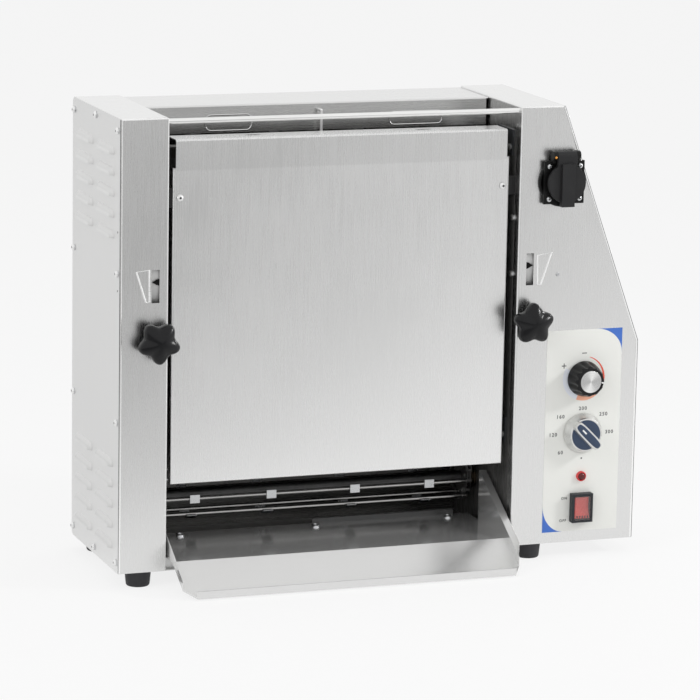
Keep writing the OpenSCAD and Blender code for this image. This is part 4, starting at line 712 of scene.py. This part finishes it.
def screw_axis(points, outward):
    """The middle of the head's outer face, the direction the head faces, and its radius."""
    centre = points.mean(0)
    _, _, axes = np.linalg.svd(points - centre)
    axis = max(axes, key=lambda d: np.ptp(points @ d) if abs(d @ outward) > 0.6 else -1)
    if axis @ outward < 0:
        axis = -axis
    along = points @ axis
    head = points[along > along.max() - 1e-5]
    return Vector(head.mean(0)), Vector(axis), float(np.linalg.norm(head - head.mean(0), axis=1).max())


def screw_mesh(place, axis, radius, dome, turn_by):
    """Points and faces of one domed head with a cross recess, standing on the head's outer face."""
    turn_to = axis.to_track_quat("Z", "Y").to_matrix()
    loops = []
    for share, rise, drop in head_steps:
        loop = []
        for k in range(head_sides):
            a = 2 * math.pi * k / head_sides
            cross = abs(math.cos(2 * (a - turn_by))) ** recess_sharp
            r = radius * share * (recess_core + recess_arm * cross if drop else 1)
            h = dome * rise - drop * radius * recess_depth
            loop.append(place + turn_to @ Vector((r * math.cos(a), r * math.sin(a), h)))
        loops.append(loop)
    return skin(loops, start=False)


def sink_mesh(place, axis, radius):
    """A small dark disc in a head's recess, painted shade."""
    turn_to = axis.to_track_quat("Z", "Y").to_matrix()
    ring = [place + turn_to @ Vector((radius * c, radius * s, 0)) for c, s in circle(sink_sides)]
    return ring, [tuple(range(sink_sides))]


def screws(node, outward, dome, finish):
    """Heads and recesses for each screw of a node. outward gives the way a head faces, by its place."""
    heads, sinks = [], []
    for i, points in enumerate(islands(nodes[node])):
        direction = outward(points.mean(0))
        place, axis, radius = screw_axis(points, np.array(direction, float))
        heads.append(screw_mesh(place, axis, radius, dome * radius, recess_start + recess_turn * i))
        sinks.append(sink_mesh(place + axis * dome * radius * sink_rise, axis, sink_share * radius))
    piece(node + "_heads", *join(*heads), finish, "housing", "zinc_steel", angle=60)
    piece(node + "_sinks", *join(*sinks), dark_steel)


left_wall, bay_right = at(30, 0, 0)[0], at(480, 0, 0)[0]
rear_wall, frame_middle = at(0, 190, 0)[1], 0


def cover_side(p):
    """The way a cover screw's head faces, by its place in the frame."""
    if p[1] > rear_wall:
        return (0, 1, 0)
    if p[0] > bay_right:
        return (1, 0, 0.25)
    if p[0] < left_wall or p[0] > frame_middle:
        return (-1, 0, 0)
    return (1, 0, 0)


front_dome, cover_dome = 0.4, 0.35
screws("door_screws", lambda p: (0, -1, 0), front_dome, highlight_steel)
screws("socket_screws", lambda p: (0, -1, 0), front_dome, zinc)
screws("cover_screws", cover_side, cover_dome, highlight_steel)

deck_z = 15
tray_head = [(5.2, 0), (5.2, 0.5), (4.9, 1.7), (4.1, 2.9), (3.2, 3.6), (2.7, 3.7), (2.4, 3.3), (2.3, 1.8)]
# The dark discs in the tray screws' recesses are painted shade.
tray_sink = [(2.3, 1.7), (2.2, 1.9), (0.2, 1.9)]
tray_heads, tray_sinks = [], []
for points in islands(nodes["tray_screws"]):
    spot = in_mm(points.mean(0))
    tray_heads.append(standing(spot.x, spot.y, deck_z, tray_head))
    tray_sinks.append(standing(spot.x, spot.y, deck_z, tray_sink))
piece("tray_screw_heads", *join(*tray_heads), zinc, "housing", "zinc_steel", ["tray_screws"], angle=50)
piece("tray_screw_sinks", *join(*tray_sinks), dark_steel, angle=50)

small_x, small_z, small_sides = 529, 322, 24
small_steps = [(2.3, 0.1), (2.3, -0.6), (1.7, -1.2), (0.9, -1.3), (0.7, -0.7), (0.2, -0.7)]
piece("column_screw", *turned(small_x, small_z, small_steps, small_sides), zinc)

# Conveyor chains: pins, rollers and two rows of link plates

chain_x, chain_pitch, chain_count = (71, 465), 12.7, 76
chain_span, chain_half, chain_r = 406.4, 76.2, 24.534
chain_y, chain_low, chain_high = 128.534, 56, 462.4
link_r, link_waist, link_thick, link_steps = 3.3, 2.5, 0.9, 8
link_outer, link_inner = 2.7, 1.6
pin_sides = 12
roller_and_pin = ((2.6, 1.1), (1.4, 3.4))


def on_loop(s):
    """The point at a distance along the chain, in y and z."""
    s %= 2 * (chain_span + chain_half)
    if s < chain_span:
        return chain_y - chain_r, chain_low + s
    s -= chain_span
    if s < chain_half:
        a = math.pi * s / chain_half
        return chain_y - chain_r * math.cos(a), chain_high + chain_r * math.sin(a)
    s -= chain_half
    if s < chain_span:
        return chain_y + chain_r, chain_high - s
    a = math.pi * (s - chain_span) / chain_half
    return chain_y + chain_r * math.cos(a), chain_low - chain_r * math.sin(a)


def link_plate(p, q, x):
    """A waisted plate from pin p to pin q."""
    dy, dz = q[0] - p[0], q[1] - p[1]
    length = math.hypot(dy, dz)
    ty, tz = dy / length, dz / length
    outline = []
    for start, middle, waist in ((math.pi / 2, 0, -link_waist), (-math.pi / 2, length, link_waist)):
        for k in range(link_steps + 1):
            a = start + math.pi * k / link_steps
            outline.append((middle + link_r * math.cos(a), link_r * math.sin(a)))
        outline.append((length / 2, waist))
    sides = []
    for sx in (x - link_thick / 2, x + link_thick / 2):
        sides.append([at(sx, p[0] + u * ty - v * tz, p[1] + u * tz + v * ty) for u, v in outline])
    return skin(sides)


pins = [on_loop(chain_pitch * i) for i in range(chain_count)]
parts = []
for x in chain_x:
    for i, p in enumerate(pins):
        q = pins[(i + 1) % chain_count]
        offset = link_outer if i % 2 else link_inner
        parts += [link_plate(p, q, x - offset), link_plate(p, q, x + offset)]
        for r, half in roller_and_pin:
            parts.append(skin([side_ring(sx, *p, r, pin_sides) for sx in (x - half, x + half)]))
piece("chain_links", *join(*parts), chain_steel, "housing", "chain_steel", ["conveyor_chains"], angle=50)

# Print on the control label

print_back, print_front, words_y = -0.38, -0.47, -0.44
words_thick, words_bold, words_space = 0.00004, 0.0001, 1.25
arc_steps = 24


def printed(name, outline, finish):
    """A flat patch of ink on the label."""
    piece(name, *plate(outline, print_back, print_front), finish, smooth=False)


def arc(cx, cz, rx, rz, start, end, count=arc_steps):
    """Points on an ellipse, by clockwise angle from upright in degrees."""
    points = []
    for i in range(count + 1):
        a = math.radians(start + (end - start) * i / count)
        points.append((cx + rx * math.sin(a), cz + rz * math.cos(a)))
    return points


label_low, label_high = (518.5, 13), (613.5, 255)
upper_w, upper_h, lower_w, lower_h = 33, 29, 26.5, 31.5
upper = arc(label_high[0] - upper_w, label_high[1] - upper_h, upper_w, upper_h, 0, 90)
lower = arc(label_low[0] + lower_w, label_low[1] + lower_h, lower_w, lower_h, 180, 270)
printed("print_corner_upper", upper + [label_high], ink_blue)
printed("print_corner_lower", lower + [label_low], ink_blue)

scale_r, scale_thin, scale_grow = 26.5, 0.7, 7.3
scale_start, scale_mid, scale_fast, scale_end = 15, 110, 200, 300


def crescent(start, end):
    """Part of the speed scale's ring, which widens from its start to its end."""
    outer, inner = arc(panel_x, speed_z, scale_r, scale_r, start, end), []
    for i in range(arc_steps, -1, -1):
        a = start + (end - start) * i / arc_steps
        r = scale_r - scale_thin - scale_grow * (a - scale_start) / (scale_end - scale_start)
        inner.append((panel_x + r * math.sin(math.radians(a)), speed_z + r * math.cos(math.radians(a))))
    return outer + inner


printed("print_scale_slow", crescent(scale_start, scale_mid), ink_red)
printed("print_scale_mid", crescent(scale_mid, scale_fast), ink_orange)
printed("print_scale_fast", crescent(scale_fast, scale_end), ink_pale)
dot_low, dot_r, dot_turn, dot_steps = 100.5, 1.0, 345, 15
printed("print_off_dot", arc(panel_x, dot_low, dot_r, dot_r, 0, dot_turn, dot_steps), ink_dark)


def words(name, text, x, z, size):
    """Letters on the label, centred on x and z."""
    curve = bpy.data.curves.new(name, "FONT")
    curve.body = text
    curve.size = size / 1000
    curve.align_x, curve.align_y = "CENTER", "CENTER"
    curve.extrude = words_thick
    curve.offset = words_bold
    curve.space_character = words_space
    curve.resolution_u = 3
    shape = bpy.data.objects.new(name + ".shape", curve)
    scene.collection.objects.link(shape)
    bpy.context.view_layer.update()
    mesh = bpy.data.meshes.new_from_object(shape)
    bpy.data.objects.remove(shape)
    mesh.transform(Matrix.Translation(at(x, words_y, z)) @ Matrix.Rotation(math.pi / 2, 4, "X"))
    mesh.materials.clear()
    mesh.materials.append(ink_dark)
    obj = bpy.data.objects.new(name, mesh)
    scene.collection.objects.link(obj)
    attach(obj, "housing")


number_size, switch_size = 5.9, 4.4
for text, dx, dz in (("200", 0, 29.4), ("250", 26.5, 21.2), ("300", 34.5, -0.6), ("60", -27, -22.5),
                     ("120", -37, -0.6), ("160", -28.2, 20.6)):
    words("print_" + text, text, panel_x + dx, dial_z + dz, number_size)
on_place, off_place = (545.5, 53), (544.5, 26)
words("print_on", "ON", *on_place, switch_size)
words("print_off", "OFF", *off_place, switch_size)
minus_low, minus_high = (563, 226.2), (569, 227.2)
printed("print_slow_mark", rect(minus_low, minus_high), ink_dark)
plus_x, plus_z, plus_arm, plus_half = 540.5, 212.5, 3, 0.5
plus = []
for x, z in ((0, 1), (1, 0), (0, -1), (-1, 0)):
    for along, aside in ((plus_arm, -plus_half), (plus_arm, plus_half), (plus_half, plus_half)):
        plus.append((plus_x + x * along + z * aside, plus_z + z * along - x * aside))
printed("print_fast_mark", plus, ink_dark)

# Pressed marks: a ridge along a line, standing out of a sheet that faces the front

bead_steps = 8


def ridge(name, points, y, width, height, finish, closed=False):
    """A half-round bead along points in x and z."""
    count = len(points)
    rings = []
    for i, (x, z) in enumerate(points):
        before = points[i - 1] if closed or i else points[i]
        after = points[(i + 1) % count] if closed or i < count - 1 else points[i]
        dx, dz = after[0] - before[0], after[1] - before[1]
        size = math.hypot(dx, dz) or 1
        nx, nz = -dz / size, dx / size
        ring = []
        for k in range(bead_steps + 1):
            b = math.pi * k / bead_steps
            aside = width / 2 * math.cos(b)
            ring.append(at(x + nx * aside, y - height * math.sin(b), z + nz * aside))
        rings.append(ring)
    if closed:
        rings.append(rings[0])
    piece(name, *skin(rings, closed=False, start=False, end=False), finish, "housing", "stainless_sheet")


wedges = {"left": [(30.6, 311.4), (19.6, 346.6), (34.4, 348.1), (34.9, 311.9)],
          "right": [(503.6, 311), (502.9, 345.3), (520.6, 348.3), (508, 310.8)]}
wedge_y, wedge_w, wedge_h = 0.05, 2.4, 0.9
for side, outline in wedges.items():
    ridge("wedge_" + side, outline, wedge_y, wedge_w, wedge_h, highlight_steel, True)

# Sheet edges at the columns' outer sides, in a brighter steel that is a painted highlight, each with a dark
# seam outside it

edge_low, edge_high = 1, 518
slant_x, slant_z, slant_in, slant_down = 533, 239, 0.9, 0.2
for name, gap, width, height, finish in (("edge", 1.7, 2.2, 0.4, edge_highlight),
                                         ("seam", 0.3, 0.6, 0.15, dark_steel)):
    line = [(gap, edge_low), (gap, edge_high)]
    ridge(name + "_left", line, 0.0, width, height, finish)
    line = [(body_w - gap, edge_low), (body_w - gap, slant_z - slant_down * gap),
            (slant_x - slant_in * gap, edge_high)]
    ridge(name + "_right", line, 0.0, width, height, finish)

# Marks over the two lanes on the rear cover's lip


def rounded(cx, cz, w, h, r, count=6):
    """A rectangle's outline with rounded corners, from its middle, width, height and radius."""
    points = []
    for qx, qz, start in ((1, 1, 0), (1, -1, 90), (-1, -1, 180), (-1, 1, 270)):
        for x, z in arc(qx * (w / 2 - r), qz * (h / 2 - r), r, r, start, start + 90, count):
            points.append((cx + x, cz + z))
    return points


lip_y, mark_w, mark_h = 104.0, 1.8, 0.7
marks = {"left": (159, 496.4, 56, 18, 7), "right": (388, 495.6, 66, 15, 6)}
for side, shape in marks.items():
    ridge("lane_mark_" + side, rounded(*shape), lip_y, mark_w, mark_h, hood_steel, True)

# Returns bent in along the rear cover's sides and lower edge

rear_y, return_l, return_t = 194.8, 12, 1.2
return_left, return_right, return_low, return_high = 57.5, 478.5, 2, 480
inner_left, inner_right = return_left + return_t, return_right - return_t
returns = {"left": rect((return_left, return_low), (inner_left, return_high)),
           "right": rect((inner_right, return_low), (return_right, return_high)),
           "lower": rect((inner_left, return_low), (inner_right, return_low + return_t))}
for name, outline in returns.items():
    piece("rear_return_" + name, *plate(outline, rear_y, rear_y - return_l), hood_steel, "housing",
          "stainless_sheet", smooth=False)

# Upstand along the rear of the tray's deck

upstand_low, upstand_high = (270, 14.9), (448, 20.5)
upstand_back, upstand_front = 109.8, 108.6
piece("deck_upstand", *plate(rect(upstand_low, upstand_high), upstand_back, upstand_front), dark_steel,
      "housing", "tray_steel", smooth=False)

# Dark discs on the left cover, painted shade standing for two small holes near its front edge

hole_x, hole_y, hole_r, hole_sides = -0.06, 8, 1.3, 16
hole_heights = (324.6, 391)
holes = []
for z in hole_heights:
    holes.append((side_ring(hole_x, hole_y, z, hole_r, hole_sides), [tuple(range(hole_sides))]))
piece("cover_holes", *join(*holes), dark_steel)

# Socket details: gasket round the collar, and a coloured dot on the hinge block

gasket_steps = [(29, -0.1), (29.4, -0.6), (29.2, -2.6), (28.4, -3)]
bead_profile = [(1.4, -15.6), (1.4, -16.2), (0.9, -16.5), (0.2, -16.6)]
socket_x, socket_z, gasket_sides = 531, 431, 64
bead_x, bead_z, bead_sides = 516.5, 461.5, 20
piece("socket_gasket", *turned(socket_x, socket_z, gasket_steps, gasket_sides), plastic)
piece("socket_dot", *turned(bead_x, bead_z, bead_profile, bead_sides), amber)

# Release sheet: coated glass cloth up the platen's rear, over its top and a little way down its front


def box_mm(node):
    """A node's low and high corners in the body's millimetres."""
    return [in_mm(corner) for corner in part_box(node)]


platen_low, platen_high = box_mm("platen")
cloth_low, cloth_high = box_mm("release_sheet")
cloth_flap, cloth_bend, cloth_inner, cloth_outer = 12, 0.5, 0.1, 0.45
bend_steps = 4


def cloth_path(out):
    """The cloth's side view in y and z, at a distance out from the platen."""
    path = [(platen_high.y + out, platen_low.z)]
    r = cloth_bend + out
    for y, start in ((platen_high.y - cloth_bend, 0), (platen_low.y + cloth_bend, 90)):
        for step in range(bend_steps + 1):
            a = math.radians(start + 90 * step / bend_steps)
            path.append((y + r * math.cos(a), platen_high.z - cloth_bend + r * math.sin(a)))
    path.append((platen_low.y - out, platen_high.z - cloth_flap))
    return path


outline = cloth_path(cloth_outer) + cloth_path(cloth_inner)[::-1]
rings = [[at(x, y, z) for y, z in outline] for x in (cloth_low.x, cloth_high.x)]
cloth = piece("release_cloth", *skin(rings), film, "housing", "release_film", ["release_sheet"])

# Insulation pad: ceramic wool with soft edges, between the door and the heater

wool_low, wool_high = box_mm("insulation_pad")
wool_edge, wool_corner = [(12, 0), (5, 0.6), (1.5, 2.4), (0, 6)], 14
wool_mid, wool_size = (wool_low + wool_high) / 2, wool_high - wool_low
wool_steps = [(inset, wool_low.y + rise) for inset, rise in wool_edge]
wool_steps += [(inset, wool_high.y - rise) for inset, rise in wool_edge[::-1]]
rings = []
for inset, y in wool_steps:
    wide, tall = wool_size.x - 2 * inset, wool_size.z - 2 * inset
    outline = rounded(wool_mid.x, wool_mid.z, wide, tall, wool_corner - inset)
    rings.append([at(x, y, z) for x, z in outline])
pad = piece("insulation_wool", *skin(rings), wool, "housing", "ceramic_wool", ["insulation_pad"])

# Floor, world and lamps, in the frame's metres

floor_low, floor_high = (-9, -7), (9, 11)
paper_dark, paper_light = (0.86, 0.86, 0.86, 1), (0.9, 0.9, 0.9, 1)
ramp_x, ramp_y, ramp_far, ramp_near, ramp_dim = 0.588, 0.449, -0.761, -0.061, 0.7
behind_start, behind_end, behind_dim = -0.05, 0.15, 0.125
near_start, near_end, near_lift = -0.7, -0.3, 0.2
glow_share, surround_light = 0.8, 0.62


def stage_floor():
    """A paper floor that glows white. Its image in the metal dims to the front left and a little behind."""
    mesh = bpy.data.meshes.new("floor")
    mesh.from_pydata([(x, y, 0) for x, y in rect(floor_low, floor_high)], [], [(0, 1, 2, 3)])
    obj = bpy.data.objects.new("floor", mesh)
    scene.collection.objects.link(obj)
    t = Tree("floor")
    paper = t.add("BsdfDiffuse")
    t.put(paper, "Color", t.blend(t.noise(30), paper_dark, paper_light))
    x, y, _ = t.place()
    ramp = t.math("ADD", t.math("MULTIPLY", x, ramp_x), t.math("MULTIPLY", y, ramp_y))
    front = t.span(ramp, ramp_dim, 0.0, ramp_far, ramp_near)
    behind = t.span(y, 0.0, 1.0, behind_start, behind_end)
    ahead = t.math("SUBTRACT", 1.0, behind)
    path = t.add("LightPath")
    fall = t.math("ADD", t.math("MULTIPLY", front, ahead), t.math("MULTIPLY", behind, behind_dim))
    near = t.math("MULTIPLY", t.span(y, 0.0, near_lift, near_start, near_end), ahead)
    fall = t.math("MAXIMUM", t.math("SUBTRACT", fall, near), 0.0)
    dim = t.math("MULTIPLY", fall, path.outputs["Is Glossy Ray"])
    glow = t.add("Emission", Color=(1, 1, 1, 1))
    t.put(glow, "Strength", t.math("SUBTRACT", 1.0, dim))
    seen = t.math("MAXIMUM", path.outputs["Is Camera Ray"],
                  t.math("MAXIMUM", path.outputs["Is Glossy Ray"], path.outputs["Is Transmission Ray"]))
    mix = t.add("MixShader")
    t.put(mix, 0, t.math("MULTIPLY", seen, glow_share))
    t.links.new(paper.outputs[0], mix.inputs[1])
    t.links.new(glow.outputs[0], mix.inputs[2])
    t.links.new(mix.outputs[0], t.out.inputs[0])
    mesh.materials.append(t.material)


def stage_world():
    """A white surround, at full strength where it is seen or mirrored and weaker as a light."""
    world = bpy.data.worlds.new("studio")
    scene.world = world
    world.use_nodes = True
    tree = world.node_tree
    tree.nodes.clear()
    new = tree.nodes.new
    out, back, path = new("ShaderNodeOutputWorld"), new("ShaderNodeBackground"), new("ShaderNodeLightPath")
    seen = path.outputs["Is Camera Ray"]
    for ray in ("Is Transmission Ray", "Is Glossy Ray"):
        most = new("ShaderNodeMath")
        most.operation = "MAXIMUM"
        tree.links.new(seen, most.inputs[0])
        tree.links.new(path.outputs[ray], most.inputs[1])
        seen = most.outputs[0]
    strength = new("ShaderNodeMapRange")
    strength.inputs["To Min"].default_value = surround_light
    strength.inputs["To Max"].default_value = 1.0
    tree.links.new(seen, strength.inputs["Value"])
    back.inputs["Color"].default_value = (1, 1, 1, 1)
    tree.links.new(strength.outputs[0], back.inputs["Strength"])
    tree.links.new(back.outputs[0], out.inputs[0])


def lamp_at(name, place, target, size, power, mirrored):
    """A square lamp. Metal shows the lamp itself only if it is mirrored."""
    data = bpy.data.lights.new(name, "AREA")
    data.size = size
    data.energy = power
    obj = bpy.data.objects.new(name, data)
    scene.collection.objects.link(obj)
    obj.visible_glossy = mirrored
    obj.location = place
    obj.rotation_euler = (Vector(target) - Vector(place)).to_track_quat("-Z", "Y").to_euler()


stage_floor()
stage_world()
lamp_at("key", (1.6, -0.75, 0.95), (0, 0, 0.25), 0.25, 10, True)
lamp_at("fill", (-2.2, -1.2, 1.6), (0, 0, 0.25), 1.4, 12, False)
lamp_at("top", (0.1, 0.3, 2.4), (0, 0, 0.3), 1.6, 5, False)
